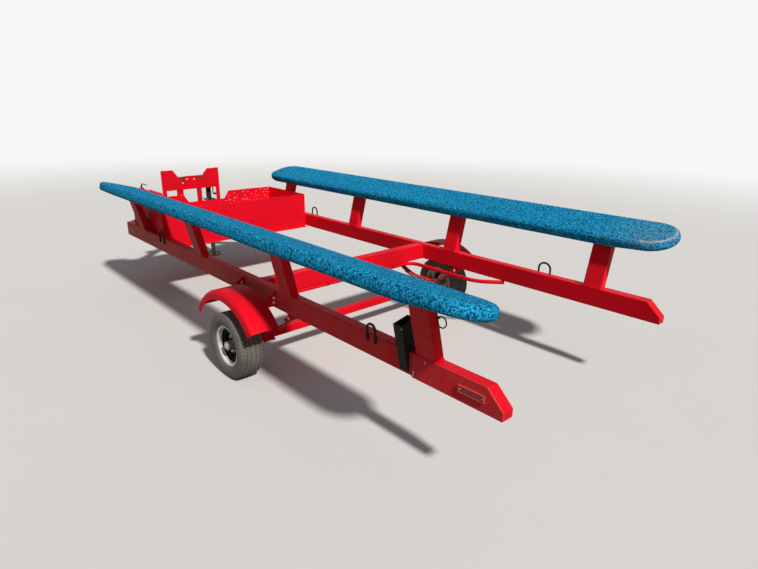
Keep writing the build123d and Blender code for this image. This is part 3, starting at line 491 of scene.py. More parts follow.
def wear_group():
    """Fading, brush marks, dust, and chips with a rusty rim, in paint."""
    tree, s, given, place, out = node_group(
        "Worn Paint", ("Paint", "Faded", "Streak", "Primer", "Rust", "Dust"),
        {"Chips": 0.3, "Chip Marks": 0.0, "Rust Marks": 0.0, "Dusty": 0.3, "Roughness": 0.45})
    fade = s.noise(place, 1.7, 3.0)
    tone = s.mix(s.span(fade, 0.42, 0.66, 0.0, 0.8), given["Paint"], given["Faded"])
    brush = s.noise(s.stretch(place, (55, 6, 55)), 3.0, 4.0, 0.6)
    tone = s.mix(s.span(brush, 0.45, 0.75, 0.0, 0.5), tone, given["Streak"])
    film = s.noise(s.stretch(place, (9, 5, 5)), 1.6, 5.0, 0.62)
    grit = s.span(s.noise(place, 170.0, 2.0, 0.6), 0.56, 0.66, 0.0, 0.6)
    # Where the rails' mask is given, this dust also paints a sky sheen on the outer faces.
    dusty = s.times(s.plus(s.span(film, 0.30, 0.68, 0.45, 1.0), grit, clamp=True), given["Dusty"])
    tone = s.mix(dusty, tone, given["Dust"])
    patches = s.noise(place, 3.1, 2.0)
    specks = s.noise(place, 46.0, 4.0, 0.62)
    level = s.plus(specks, s.times(s.less(patches, 0.5), 0.55))
    level = s.plus(level, s.times(given["Chip Marks"], 0.5))
    edge = s.blend(given["Chips"], 0.88, 0.62)
    rim = s.span(level, edge, s.plus(edge, 0.012))
    core = s.span(level, s.plus(edge, 0.018), s.plus(edge, 0.032))
    rusty = s.calc("MAXIMUM", rim, s.times(given["Rust Marks"], s.span(specks, 0.36, 0.46)))
    tone = s.mix(rusty, tone, given["Rust"])
    tone = s.mix(core, tone, given["Primer"])
    s.link(out["Color"], tone)
    rough = s.plus(given["Roughness"], s.times(s.less(fade, 0.5), 0.2))
    rough = s.plus(rough, s.times(dusty, 0.35))
    s.link(out["Roughness"], s.blend(rusty, rough, 0.85))
    height = s.less(s.times(brush, 0.22), s.times(rim, 0.6))
    s.link(out["Height"], s.plus(height, s.times(s.noise(place, 14.0, 2.0), 0.3)))
    return tree


def carpet_group():
    """Flecked cut-pile carpet: tufts of three yarns, with dust and worn backing by mask."""
    tree, s, given, place, out = node_group(
        "Flecked Carpet", ("Yarn", "Dark Fleck", "Light Fleck"), {"Dust": 0.0, "Worn": 0.0})
    tufts = s.cells(place, 300.0)
    shade = s.first(tufts["Color"])
    clumps = s.noise(place, 74.0, 3.0, 0.62)
    pick = s.plus(s.times(shade, 0.45), s.times(clumps, 1.15))
    tone = s.mix(s.span(pick, 0.93, 0.95), given["Yarn"], given["Light Fleck"])
    tone = s.mix(s.span(pick, 0.68, 0.66), tone, given["Dark Fleck"])
    mottle = s.noise(place, 96.0, 2.0, 0.6)
    tone = s.mix(s.span(mottle, 0.50, 0.38, 0.0, 0.65), tone, given["Dark Fleck"])
    tone = s.mix(s.span(mottle, 0.54, 0.64, 0.0, 0.50), tone, given["Light Fleck"])
    dusty = s.times(given["Dust"], s.span(s.noise(place, 38.0, 4.0, 0.65), 0.38, 0.62))
    tone = s.mix(s.times(dusty, 0.8), tone, CARPET_DUST)
    worn = s.times(given["Worn"], s.span(s.noise(place, 60.0, 3.0), 0.3, 0.55))
    tone = s.mix(worn, tone, CARPET_BACKING)
    s.link(out["Color"], tone)
    s.link(out["Roughness"], s.blend(worn, 0.95, 0.85))
    s.link(out["Height"], s.plus(s.times(tufts["Distance"], -0.7), s.times(clumps, 0.8)))
    return tree


def metal_group():
    """Blotches, dirt and rust spots in bare or coated steel."""
    tree, s, given, place, out = node_group(
        "Weathered Metal", ("Metal", "Rust"), {"Rust Share": 0.2, "Dirt": 0.2, "Roughness": 0.4}, ("Bare",))
    blotch = s.noise(place, 22.0, 4.0, 0.6)
    tone = s.mix(s.span(blotch, 0.40, 0.72, 0.0, 0.35), given["Metal"], STEEL_BLOTCH)
    spots = s.plus(s.noise(place, 70.0, 5.0, 0.65), s.times(s.noise(place, 9.0, 2.0), 0.4))
    edge = s.blend(given["Rust Share"], 1.0, 0.55)
    rusty = s.span(spots, edge, s.plus(edge, 0.08))
    tone = s.mix(s.times(s.noise(place, 5.0, 3.0), given["Dirt"]), tone, STEEL_DIRT)
    s.link(out["Color"], s.mix(rusty, tone, given["Rust"]))
    rough = s.plus(given["Roughness"], s.times(blotch, 0.2))
    s.link(out["Roughness"], s.blend(rusty, rough, 0.9))
    s.link(out["Height"], s.plus(s.times(rusty, 0.5), s.times(blotch, 0.3)))
    s.link(out["Bare"], s.less(1.0, rusty, clamp=True))
    return tree


def rubber_group():
    """Dusty rubber with fine grain and paler scuffs."""
    tree, s, given, place, out = node_group("Dusty Rubber", ("Rubber", "Dust"), {"Dusty": 0.4})
    film = s.noise(place, 7.0, 4.0, 0.6)
    scuffs = s.noise(place, 60.0, 5.0, 0.7)
    dusty = s.times(s.span(film, 0.28, 0.68, 0.35, 1.0), given["Dusty"])
    tone = s.mix(dusty, given["Rubber"], given["Dust"])
    tone = s.mix(s.span(scuffs, 0.58, 0.72, 0.0, 0.5), tone, given["Dust"])
    s.link(out["Color"], tone)
    s.link(out["Roughness"], s.span(film, 0.2, 0.8, 0.72, 0.95))
    s.link(out["Height"], s.plus(s.times(scuffs, 0.5), s.times(s.noise(place, 240.0, 2.0), 0.4)))
    return tree


# Node groups and materials made so far, by name
GROUPS = {}
MATERIALS = {}


def group_named(name, build):
    """Each node group is built once and then shared."""
    if name not in GROUPS:
        GROUPS[name] = build()
    return GROUPS[name]


def new_material(name):
    """Empty material with a Principled shader, its sheet and object coordinates."""
    material = bpy.data.materials.new(name)
    material.use_nodes = True
    tree = material.node_tree
    tree.nodes.clear()
    sheet = Sheet(tree)
    shader = sheet.node("ShaderNodeBsdfPrincipled")
    out = sheet.node("ShaderNodeOutputMaterial")
    tree.links.new(shader.outputs[0], out.inputs[0])
    place = sheet.node("ShaderNodeTexCoord").outputs["Object"]
    MATERIALS[name] = material
    return material, sheet, shader, place


def dress(sheet, shader, surface, bump, depth):
    """Feed a surface's colour, roughness and height into the shader."""
    sheet.link(shader.inputs["Base Color"], surface["Color"])
    sheet.link(shader.inputs["Roughness"], surface["Roughness"])
    relief = {"Height": surface["Height"], "Strength": bump, "Distance": depth}
    sheet.link(shader.inputs["Normal"], sheet.node("ShaderNodeBump", relief).outputs[0])


def paint_material(name, tones=None, chips=None, dusty=0.025, roughness=None, coat=0.0,
                   specular=0.05, chip_mask=None, rust_mask=None, dust_and_sheen_mask=None):
    """Brushed paint with the shared wear; the masks are functions of the sheet and the place."""
    if name in MATERIALS:
        return MATERIALS[name]
    settings = bpy.context.scene.trailer_paint
    material, s, shader, place = new_material(name)
    tones = tones or (settings.paint, settings.faded, settings.streak)
    worn = s.group(group_named("paint", wear_group), {
        "Vector": place, "Paint": tones[0], "Faded": tones[1], "Streak": tones[2],
        "Primer": settings.primer, "Rust": settings.rust, "Dust": settings.dust,
        "Chips": settings.chips if chips is None else chips,
        "Chip Marks": chip_mask(s, place) if chip_mask else 0.0,
        "Rust Marks": rust_mask(s, place) if rust_mask else 0.0,
        # The rails' dust mask also paints a sky sheen on their outer faces.
        "Dusty": dust_and_sheen_mask(s, place) if dust_and_sheen_mask else dusty,
        "Roughness": settings.roughness if roughness is None else roughness})
    shader.inputs["Specular IOR Level"].default_value = specular
    if coat:
        shader.inputs["Coat Weight"].default_value = coat
        shader.inputs["Coat Roughness"].default_value = 0.25
    dress(s, shader, worn, 0.3, 0.002)
    return material


def dark_paint(name, tone, **options):
    """Paint of one dark tone with the shared wear."""
    lighter = tuple(min(1.0, c * 1.8) for c in tone[:3]) + (1.0,)
    return paint_material(name, (tone, tone, lighter), **options)


def metal_material(name, metal, rust_share, dirt, roughness, metallic=1.0):
    """Steel, zinc or silver paint with the shared weathering."""
    if name in MATERIALS:
        return MATERIALS[name]
    material, s, shader, place = new_material(name)
    worn = s.group(group_named("metal", metal_group), {
        "Vector": place, "Metal": metal, "Rust": bpy.context.scene.trailer_paint.rust,
        "Rust Share": rust_share, "Dirt": dirt, "Roughness": roughness})
    s.link(shader.inputs["Metallic"], s.times(worn["Bare"], metallic))
    dress(s, shader, worn, 0.4, 0.001)
    return material


def zinc():
    """Dull plated steel of bolts and nuts."""
    return metal_material("zinc_bolts", (0.55, 0.54, 0.50, 1), 0.22, 0.3, 0.42)


# Finishes

def scattered(s, place, scale, part, size):
    """Mask of small round specks, strewn in a part of the cells."""
    cell = s.cells(place, scale)
    picked = s.span(s.first(cell["Color"]), 1 - part, 1.01 - part)
    return s.times(s.span(cell["Distance"], size, size * 0.6), picked)


def outer_dust_and_sheen(s, place):
    """Road dust and a painted sky sheen on the outer faces of rails and posts, both thicker towards the
    front.
    """
    x, y, z = s.split(place)
    lean = s.times(s.calc("MAXIMUM", s.less(z, RAIL_TOP), 0.0), POST_LEAN)
    face = RAIL_FACES[1]
    outer = s.span(s.less(s.calc("ABSOLUTE", x), lean), face - 0.0033, face - 0.0013)
    # Painted sheen: the outer faces turn paler towards the front, as the sky's reflection would at a
    # grazing view, with the dust.
    ahead = s.span(y, station(500), station(3400), 0.16, 0.55)
    grains = s.times(scattered(s, place, 62.0, 0.30, 0.22), 0.55)
    return s.plus(s.times(outer, s.plus(ahead, grains, clamp=True)), 0.035)


def box_chips(s, place):
    """More chips along the box's top edges."""
    return s.span(s.split(place)[2], BOX_TOP - 0.006, BOX_TOP - 0.001, 0.0, 0.30)


def front_wall_chips(s, place):
    """Chips along the top edge, and many on the wall's right half."""
    x, _, z = s.split(place)
    right = s.times(s.span(x, 0.10, 0.22), s.span(z, BOX_TOP - 0.22, BOX_TOP - 0.08))
    right = s.times(right, scattered(s, place, 50.0, 0.72, 0.28))
    edge = s.span(z, BOX_TOP - 0.020, BOX_TOP - 0.004, 0.0, 0.40)
    return s.calc("MAXIMUM", edge, right)


def board_spot(x, rise, half, high):
    """Spot on the head board, in metres over the rail's top."""
    return (x, BOARD_Y, RAIL_TOP + rise), (half, 0.02, high)


def board_chips(s, place):
    """Bare spots and scraped edges of the head board."""
    return s.spots(place, (
        board_spot(-0.049, 0.325, 0.009, 0.009), board_spot(0.033, 0.321, 0.009, 0.009),
        board_spot(-0.098, 0.285, 0.008, 0.007), board_spot(-0.115, 0.357, 0.040, 0.004),
        board_spot(0.128, 0.362, 0.014, 0.006), board_spot(0.240, 0.429, 0.045, 0.003)))


def board_rust(s, place):
    """Rust patches under the head board's notch."""
    return s.spots(place, (
        board_spot(-0.105, 0.333, 0.040, 0.014), board_spot(-0.090, 0.308, 0.022, 0.012),
        board_spot(0.080, 0.333, 0.045, 0.013), board_spot(0.118, 0.322, 0.018, 0.018)))


def rail_pale_spots(s, place):
    """Pale spots in the primer's colour on the left rail by its doubler and post, and one low on the right
    rail.
    """
    return s.spots(place, (
        ((-DOUBLER_FACE, station(519), RAIL_TOP - 0.094), (0.01, 0.006, 0.008)),
        ((-DOUBLER_FACE, station(522), RAIL_TOP - 0.110), (0.01, 0.004, 0.014)),
        ((-DOUBLER_FACE, station(448), RAIL_TOP - 0.020), (0.01, 0.006, 0.006)),
        ((RAIL_X, station(1240), RAIL_TOP - 0.124), (0.05, 0.010, 0.008))))


def stub_chips(s, place):
    """Bare corners of the stub socket's mouth."""
    return s.spots(place, (
        ((-0.894, station(556), RAIL_TOP + 0.130), (0.005, 0.005, 0.004)),
        ((-0.802, station(556), RAIL_TOP + 0.162), (0.006, 0.004, 0.003))))


def carpet_material():
    """Carpet of the bunks, with the pieces' own dust and wear masks."""
    settings = bpy.context.scene.trailer_bunks
    material, s, shader, place = new_material("bunk_carpet")
    pile = s.group(group_named("carpet", carpet_group), {
        "Vector": place, "Yarn": settings.yarn, "Dark Fleck": settings.dark_fleck,
        "Light Fleck": settings.light_fleck, "Dust": s.attribute("dust"), "Worn": s.attribute("worn")})
    shader.inputs["Specular IOR Level"].default_value = 0.05
    dress(s, shader, pile, 0.9, 0.004)
    return material


def timber_material():
    """Weathered board that shows between the carpet's hems."""
    material, s, shader, place = new_material("board_timber")
    grain = s.noise(s.stretch(place, (60, 2.2, 60)), 1.0, 5.0, 0.6)
    stain = s.noise(place, 4.0, 3.0)
    tone = s.mix(s.span(grain, 0.35, 0.65), (0.30, 0.19, 0.10, 1), (0.16, 0.095, 0.05, 1))
    tone = s.mix(s.span(stain, 0.45, 0.7, 0.0, 0.6), tone, (0.10, 0.085, 0.07, 1))
    rough = s.span(grain, 0.3, 0.7, 0.75, 0.92)
    dress(s, shader, {"Color": tone, "Roughness": rough, "Height": grain}, 0.5, 0.002)
    return material


def rubber_material():
    """Tyre rubber."""
    settings = bpy.context.scene.trailer_wheels
    material, s, shader, place = new_material("tyre_rubber")
    skin = s.group(group_named("rubber", rubber_group), {
        "Vector": place, "Rubber": settings.rubber, "Dust": settings.film, "Dusty": 0.45})
    dress(s, shader, skin, 0.35, 0.001)
    return material


def lens_material():
    """Dark red lens of the side lamps, with dust on it."""
    material, s, shader, place = new_material("lamp_lens")
    film = s.noise(place, 60.0, 4.0, 0.6)
    tone = s.mix(s.span(film, 0.45, 0.7, 0.0, 0.3), (0.28, 0.004, 0.010, 1), (0.30, 0.09, 0.08, 1))
    rough = s.span(film, 0.3, 0.7, 0.18, 0.45)
    dress(s, shader, {"Color": tone, "Roughness": rough, "Height": film}, 0.15, 0.0005)
    return material


# Bunks

# Columns: millimetres from the rails' rear tips, width, thickness, lift of the middle
BUNK_BODY = ((30, 340, 64, 7), (200, 340, 64, 7), (387, 340, 78, 0), (3900, 340, 80, -1))
# Columns: millimetres ahead of the nose's start, width, thickness, lift of the middle
BUNK_NOSE = (
    (0, 340, 80, 0), (150, 334, 80, 0), (230, 290, 74, -1), (285, 220, 66, -3), (308, 168, 58, -4),
    (321, 112, 52, -5))
NOSE_START = {-1: 4095, 1: 4185}
NOSE_CENTRE_ROW = 1
# Metres between the mesh's rows along the straight body
BUNK_STEP = 0.018
# Rows in a rounded end, and cuts across the width and the thickness
CAP_ROWS, WIDTH_CUTS, THICKNESS_CUTS = 10, 21, 6
# Columns: metres from the rails' rear tips, half width, height of each crease in the left bunk
CREASES = ((0.425, 0.012, -0.0045), (0.449, 0.018, 0.0040))
CREASE_SLANT = 0.10
# Waves of the nose's pleats in a full turn, their height, and how far they reach in
PLEATS, PLEAT_DEPTH, PLEAT_REACH = 26, 0.0022, 0.05
# Step from the carpet's hem down to the bare board
HEM_EDGE, HEM_DEPTH = 0.0015, 0.003


def outline_at(rows, y):
    """Width, thickness and lift of the board at a distance from the rails' rear tips."""
    for a, b in zip(rows, rows[1:]):
        if y * 1000 <= b[0]:
            part = max(0.0, (y * 1000 - a[0]) / (b[0] - a[0]))
            return tuple((a[i] + (b[i] - a[i]) * part) / 1000 for i in (1, 2, 3))
    return tuple(v / 1000 for v in rows[-1][1:])


def nose_reach(rows, centre, way):
    """Distance from the nose's centre to its outline, along a direction."""
    near, far = 0.0, 0.4
    for _ in range(26):
        middle = (near + far) / 2
        y = centre + way.y * middle
        inside = y * 1000 <= rows[-1][0] and abs(way.x) * middle <= outline_at(rows, y)[0] / 2
        near, far = (middle, far) if inside else (near, middle)
    return near


def round_edge(inside, up, half_thick, radius):
    """Wrap a point of a square section's outline round an edge of that radius."""
    radius = min(radius, half_thick - 0.001)
    core_in = max(inside, radius)
    core_up = min(max(up, radius - half_thick), half_thick - radius)
    away = Vector((inside - core_in, up - core_up))
    if away.length < 1e-9:
        return inside, up
    away = away.normalized() * radius
    return core_in + away.x, core_up + away.y


def bunk_places(rows, full):
    """Centre along the bunk of each of the mesh's rows, and how far it is round an end."""
    rear = rows[0][0] / 1000 + full
    nose = rows[len(BUNK_BODY) + NOSE_CENTRE_ROW][0] / 1000
    body = int((nose - rear) / BUNK_STEP)
    cap = [sin(pi / 2 * i / CAP_ROWS) for i in range(1, CAP_ROWS + 1)]
    places = [(rear, -b) for b in reversed(cap)]
    places += [(rear + (nose - rear) * i / body, 0.0) for i in range(body + 1)]
    return places + [(nose, b) for b in cap]


def carpet_ripple(side, x, y, up, level):
    """Slight unevenness of the carpet, with the left bunk's creases."""
    ripple = noise.noise(Vector((side * 3 + x * 6, y * 3.1, up))) * 0.0014
    ripple += noise.noise(Vector((side * 5 + x * 2, y * 0.9, 4))) * 0.0022
    if side < 0:
        for at, size, rise in CREASES:
            line = (y - at - x * CREASE_SLANT) / size
            ripple += rise * (0.35 + 0.65 * level) / (1 + line * line)
    return ripple


def nose_pleats(way, inside, up, end):
    """Pleats where the carpet is turned in under the nose."""
    if end <= 0 or up >= 0.5:
        return 0.0
    part = max(0.0, 1 - inside / PLEAT_REACH) * (0.5 - up) * end
    return PLEAT_DEPTH * sin(atan2(way.x, way.y) * PLEATS) * part


def rear_wear(x, y, inside, up, level):
    """Dust on the right bunk's rear stretch, and the worn line round its rear end."""
    dusty = max(0.0, min(0.34, (0.50 - y) / 0.9)) * (0.4 + 0.6 * level)
    at_edge = y < 0.21 and x < 0.08 and up > 0
    return dusty, max(0.0, 1 - abs(inside - 0.020) / 0.011) if at_edge else 0.0


def bare_faces(bm, places, full, hem):
    """Faces under the straight body, between the carpet's hems."""
    last = len(places) - 1
    found = []
    for face in bm.faces:
        middle = face.calc_center_median()
        end = places[min(last, round((middle.y + 1) / 2 * last))][1]
        within = abs(sin(middle.x * pi / 2)) * full < full - hem
        if middle.z < -0.999 and end == 0.0 and within:
            found.append(face)
    return found


def way_out(rows, full, centre, end, across):
    """Way from a row's centre to the outline, the distance there, and the share of it gone."""
    if end:
        way = Vector((across, end)).normalized()
        reach = full if end < 0 else nose_reach(rows, centre, way)
        return way, reach, max(abs(across), abs(end))
    way = Vector((1 if across >= 0 else -1, 0))
    return way, outline_at(rows, centre)[0] / 2, abs(across)


def bunk(bm, side):
    """Carpeted board, padded on top, with its rounded rear end and blunt front nose."""
    s = bpy.context.scene.trailer_bunks
    rows = BUNK_BODY + tuple((NOSE_START[side] + row[0],) + row[1:] for row in BUNK_NOSE)
    full = rows[0][1] / 2000
    places = bunk_places(rows, full)
    last = len(places) - 1
    bmesh.ops.create_cube(bm, size=2)
    dust = bm.verts.layers.float.new("dust")
    worn = bm.verts.layers.float.new("worn")
    for axis, cuts in ((1, last - 1), (0, WIDTH_CUTS), (2, THICKNESS_CUTS)):
        edges = [e for e in bm.edges if abs(e.verts[0].co[axis] - e.verts[1].co[axis]) > 1.5]
        bmesh.ops.subdivide_edges(bm, edges=edges, cuts=cuts, use_grid_fill=True)
    bare = bare_faces(bm, places, full, s.hem)
    turn = Matrix.Rotation(-side * s.tilt, 3, "Y")
    for v in bm.verts:
        across = sin(v.co.x * pi / 2)
        up = v.co.z
        centre, end = places[round((v.co.y + 1) / 2 * last)]
        way, reach, part = way_out(rows, full, centre, end, across)
        thick, lift = outline_at(rows, centre + way.y * reach * part)[1:]
        inside, height = round_edge((1 - part) * reach, up * thick / 2, thick / 2, s.edge)
        x = way.x * (reach - inside)
        y = centre + way.y * (reach - inside)
        level = max(0.0, up)
        crown = s.crown * (1 - min(1.0, abs(x) / full) ** 2) * level
        ripple = carpet_ripple(side, x, y, up, level) + nose_pleats(way, inside, up, end)
        if side > 0:
            v[dust], v[worn] = rear_wear(x, y, inside, up, level)
        point = turn @ Vector((x, 0, height + lift + crown + ripple))
        v.co = Vector((side * s.centre_x + point.x, RAIL_REAR + y, RAIL_TOP + s.rise + point.z))
    bmesh.ops.recalc_face_normals(bm, faces=bm.faces)
    bmesh.ops.inset_region(bm, faces=bare, thickness=HEM_EDGE, depth=-HEM_DEPTH, use_even_offset=True)
    for face in bare:
        face.material_index = 1


# Stage

CAMERA_PLACE = (-2.5549, -4.3150, 1.7357)
# Camera's turn from the trailer's length, tip downwards and lean, in degrees
CAMERA_TURNS = (42.65, 18.43, -0.717)
KEY_WAY = (0.20, 1.02, -1.0)
BACKDROP = (0.93, 0.93, 0.93, 1)
# Distances from the trailer in metres between which the floor turns into the backdrop
FLOOR_FADE = (6.0, 16.0)


def add_camera(scene, focal):
    """Camera at the height and angle of the photograph."""
    yaw, pitch, roll = map(radians, CAMERA_TURNS)
    forward = Vector((sin(yaw) * cos(pitch), cos(yaw) * cos(pitch), -sin(pitch)))
    right = Vector((cos(yaw), -sin(yaw), 0))
    down = forward.cross(right)
    across = right * cos(roll) + down * sin(roll)
    below = down * cos(roll) - right * sin(roll)
    axes = Matrix((across, -below, -forward)).transposed()
    optics = bpy.data.cameras.new("camera")
    optics.sensor_fit = "HORIZONTAL"
    optics.sensor_width = 36.0
    optics.lens = focal
    optics.clip_start = 0.05
    optics.clip_end = 200.0
    optics.dof.use_dof = False
    scene.camera = placed("camera", optics)
    scene.camera.matrix_world = Matrix.Translation(CAMERA_PLACE) @ axes.to_4x4()


def direct_view(sheet):
    """Mask of what the camera sees itself or through gloss and glass."""
    path = sheet.node("ShaderNodeLightPath").outputs
    gloss = sheet.calc("MAXIMUM", path["Is Glossy Ray"], path["Is Transmission Ray"])
    return sheet.calc("MAXIMUM", path["Is Camera Ray"], gloss)


def shader_choice(sheet, mask, first, second):
    """Mix of two shader nodes by a mask."""
    made = sheet.node("ShaderNodeMixShader")
    for index, item in enumerate((mask, first.outputs[0], second.outputs[0])):
        sheet.link(made.inputs[index], item)
    return made.outputs[0]


def add_floor(tone, bounce):
    """Wide floor that shows its own tone, but throws back a darker light."""
    bm = bmesh.new()
    bmesh.ops.create_grid(bm, x_segments=8, y_segments=8, size=60.0)
    material, sheet, shader, place = new_material("floor")
    mesh_object(bm, "floor", [material])
    grain = sheet.span(sheet.noise(place, 1.2, 4.0), 0.3, 0.7, 0.0, 0.06)
    shown = sheet.mix(grain, tone, (0.6, 0.6, 0.6, 1))
    sheet.link(shader.inputs["Base Color"], sheet.mix(direct_view(sheet), bounce, shown))
    shader.inputs["Roughness"].default_value = 0.9
    shader.inputs["Specular IOR Level"].default_value = 0.1
    glow = sheet.node("ShaderNodeEmission", {"Color": BACKDROP, "Strength": 1.0})
    far = sheet.span(sheet.vector("LENGTH", place), *FLOOR_FADE)
    out = next(node for node in sheet.tree.nodes if node.type == "OUTPUT_MATERIAL")
    sheet.link(out.inputs[0], shader_choice(sheet, far, shader, glow))


def add_sky(scene, fill):
    """Plain light from all round, with the pale backdrop before the camera."""
    world = bpy.data.worlds.new("studio")
    world.use_nodes = True
    world.node_tree.nodes.clear()
    scene.world = world
    sky = Sheet(world.node_tree)
    dome = sky.node("ShaderNodeBackground", {"Color": (0.86, 0.90, 0.96, 1), "Strength": fill})
    backdrop = sky.node("ShaderNodeBackground", {"Color": BACKDROP, "Strength": 1.0})
    shown = shader_choice(sky, direct_view(sky), dome, backdrop)
    sky.link(sky.node("ShaderNodeOutputWorld").inputs[0], shown)


def add_key(power):
    """Key light from above the trailer's rear, with soft edges to its shadows."""
    key = bpy.data.lights.new("key", "SUN")
    key.energy = power
    key.angle = radians(4)
    key.color = (1.0, 0.97, 0.93)
    placed("key", key).rotation_euler = Vector(KEY_WAY).to_track_quat("-Z", "Y").to_euler()


# Operators

class TRAILER_OT_stage(bpy.types.Operator):
    """Add the camera, the floor and the soft light"""
    bl_idname = "trailer.stage"
    bl_label = "Stage"

    def execute(self, context):
        scene = context.scene
        s = scene.trailer_stage
        add_camera(scene, s.lens)
        add_floor(s.floor, s.bounce)
        add_sky(scene, s.fill)
        add_key(s.key)
        scene.view_settings.view_transform = "Standard"
        return {"FINISHED"}


class TRAILER_OT_finishes(bpy.types.Operator):
    """Give every CAD node its own worn finish"""
    bl_idname = "trailer.finishes"
    bl_label = "Finishes"

    def execute(self, context):
        # The rails' paint gets road dust and a painted sky sheen on its outer faces.
        rail = paint_material("rail_paint", chip_mask=rail_pale_spots, dust_and_sheen_mask=outer_dust_and_sheen)
        spring = paint_material("spring_paint", chips=0.5, dusty=0.3, roughness=0.6)
        silver = context.scene.trailer_wheels.rim
        by_name = {
            "rail_": rail,
            "posts_": rail,
            "headboard": paint_material("board_paint", chip_mask=board_chips, rust_mask=board_rust),
            "box_wall_front": paint_material("front_wall_paint", chip_mask=front_wall_chips),
            "box_": paint_material("box_paint", chip_mask=box_chips),
            "spring_": spring,
            "clamp_": spring,
            "side_lamps": paint_material(
                "lamp_housing", chips=0.2, dusty=0.35, roughness=0.4, specular=0.5),
            "lashing_loops": dark_paint("loop_brown", (0.030, 0.012, 0.009, 1), chips=0.25, dusty=0.12),
            "jack_crank": metal_material("crank_grey", (0.30, 0.30, 0.29, 1), 0.3, 0.4, 0.5, 0.5),
        }
        by_slot = {
            "red_paint": paint_material("red_paint"),
            "tyre_rubber": rubber_material(),
            "bunk_carpet": carpet_material(),
            "rim_silver": metal_material("rim_silver", silver, 0.10, 0.10, 0.40, 0.10),
            "hub_steel": metal_material("hub_steel", (0.42, 0.41, 0.39, 1), 0.35, 0.4, 0.45, 0.8),
            "jack_black": dark_paint(
                "jack_black", (0.010, 0.010, 0.011, 1), chips=0.25, dusty=0.08, coat=0.1),
            "jack_zinc": metal_material("jack_zinc", (0.24, 0.24, 0.23, 1), 0.32, 0.4, 0.45, 0.6),
            "coupler_dark": metal_material("coupler_dark", (0.12, 0.11, 0.10, 1), 0.35, 0.4, 0.5, 0.6),
            "spring_steel": spring,
            "stub_green": dark_paint(
                "stub_green", (0.005, 0.011, 0.007, 1), chips=0.2, dusty=0.06, chip_mask=stub_chips),
        }
        timber_material()
        for part in frame["record"]["subparts"]:
            name = part["node"]
            found = [finish for start, finish in by_name.items() if name.startswith(start)]
            for place in frame["nodes"][name].material_slots:
                place.material = found[0] if found else by_slot[part["material_slot"]]
        return {"FINISHED"}


class TRAILER_OT_bunks(bpy.types.Operator):
    """Model the two carpeted bunks"""
    bl_idname = "trailer.bunks"
    bl_label = "Bunks"

    def execute(self, context):
        materials = [MATERIALS["bunk_carpet"], MATERIALS["board_timber"]]
        for word, side in SIDES:
            piece = add_piece(f"bunk_carpet_{word}", "bunk_carpet", materials, bunk, side, smooth=80)
            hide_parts(f"bunk_{word}")
        return {"FINISHED"}


# Columns: across from the wheel's middle plane, radius, in millimetres, for one half of the tyre
TYRE_HALF = (
    (0, 224.3), (11, 224.2), (13, 217.5), (20, 217.3), (22, 223.9), (41, 223.2), (43, 216.6), (50, 216.2),
    (52, 222.6), (64, 221.3), (72, 218.6), (78, 214.6), (81.5, 209.5), (83.5, 204), (83.2, 201.5),
    (85.2, 199.5), (87.2, 190), (88.2, 181), (87.4, 170), (85.9, 168.5), (86.2, 166.5), (84, 159),
    (80.5, 151.5), (78.6, 150.6), (78.0, 148.6), (74, 144), (69.0, 141.2), (65.6, 140.6), (65.4, 127.8))
# Steps of the turned tyre in one pitch of the tread
PITCH_STEPS = 4
# Radius past which a face belongs to the tread, and half widths of the middle rib and of the next two
TREAD_RADIUS = 0.2190
RIB_EDGES = (0.012, 0.045)
# Radius where the tread's wave and sweep begin, and the height in which they grow to the full
SHAPE_START, SHAPE_RUN = 0.205, 0.012
# Half widths within which the grooves wave, and at which the sweep is full
WAVE_HALF, SWEEP_HALF = 0.060, 0.07
GROOVE_EDGE = 0.0016


def cross_grooves(bm, steps):
    """Tread faces that sink as cross grooves, staggered between the ribs."""
    found = []
    for face in bm.faces:
        middle = face.calc_center_median()
        off = abs(middle.z)
        if hypot(middle.x, middle.y) < TREAD_RADIUS or abs(face.normal.z) > 0.75 or off < RIB_EDGES[0]:
            continue
        index = int((atan2(middle.y, middle.x) / (2 * pi) % 1.0) * steps + 0.25)
        stagger = PITCH_STEPS // 2 if off < RIB_EDGES[1] else 0
        if (index + stagger) % PITCH_STEPS == 0:
            found.append(face)
    return found


def tyre(bm, side):
    """Turned tyre, with cross grooves sunk into its tread and the tread waved and swept."""
    s = bpy.context.scene.trailer_wheels
    half = metres(TYRE_HALF)
    steps = s.pitches * PITCH_STEPS
    spun(bm, half + [(-x, r) for x, r in reversed(half[1:])], Matrix(), steps)
    bmesh.ops.recalc_face_normals(bm, faces=bm.faces)
    bmesh.ops.inset_region(
        bm, faces=cross_grooves(bm, steps), thickness=GROOVE_EDGE, depth=-s.groove,
        use_even_offset=True, use_boundary=True)
    for v in bm.verts:
        part = min(1.0, max(0.0, (hypot(v.co.x, v.co.y) - SHAPE_START) / SHAPE_RUN))
        turn = atan2(v.co.y, v.co.x)
        if abs(v.co.z) < WAVE_HALF:
            v.co.z += s.wave * sin(turn * s.pitches) * part
        v.co = Matrix.Rotation(s.sweep * abs(v.co.z) / SWEEP_HALF * part, 3, "Z") @ v.co
    place = facing((side * WHEEL_X, AXLE_Y, AXLE_Z), (side, 0, 0))
    bmesh.ops.transform(bm, matrix=place, verts=bm.verts)


class TRAILER_OT_tyres(bpy.types.Operator):
    """Model the two tyres with their tread"""
    bl_idname = "trailer.tyres"
    bl_label = "Tyres"

    def execute(self, context):
        for word, side in SIDES:
            piece = add_piece(f"tyre_tread_{word}", "tyre_rubber", [MATERIALS["tyre_rubber"]], tyre, side,
                              body=f"wheel_{word}", smooth=32)
            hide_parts(f"tyre_{word}")
        return {"FINISHED"}


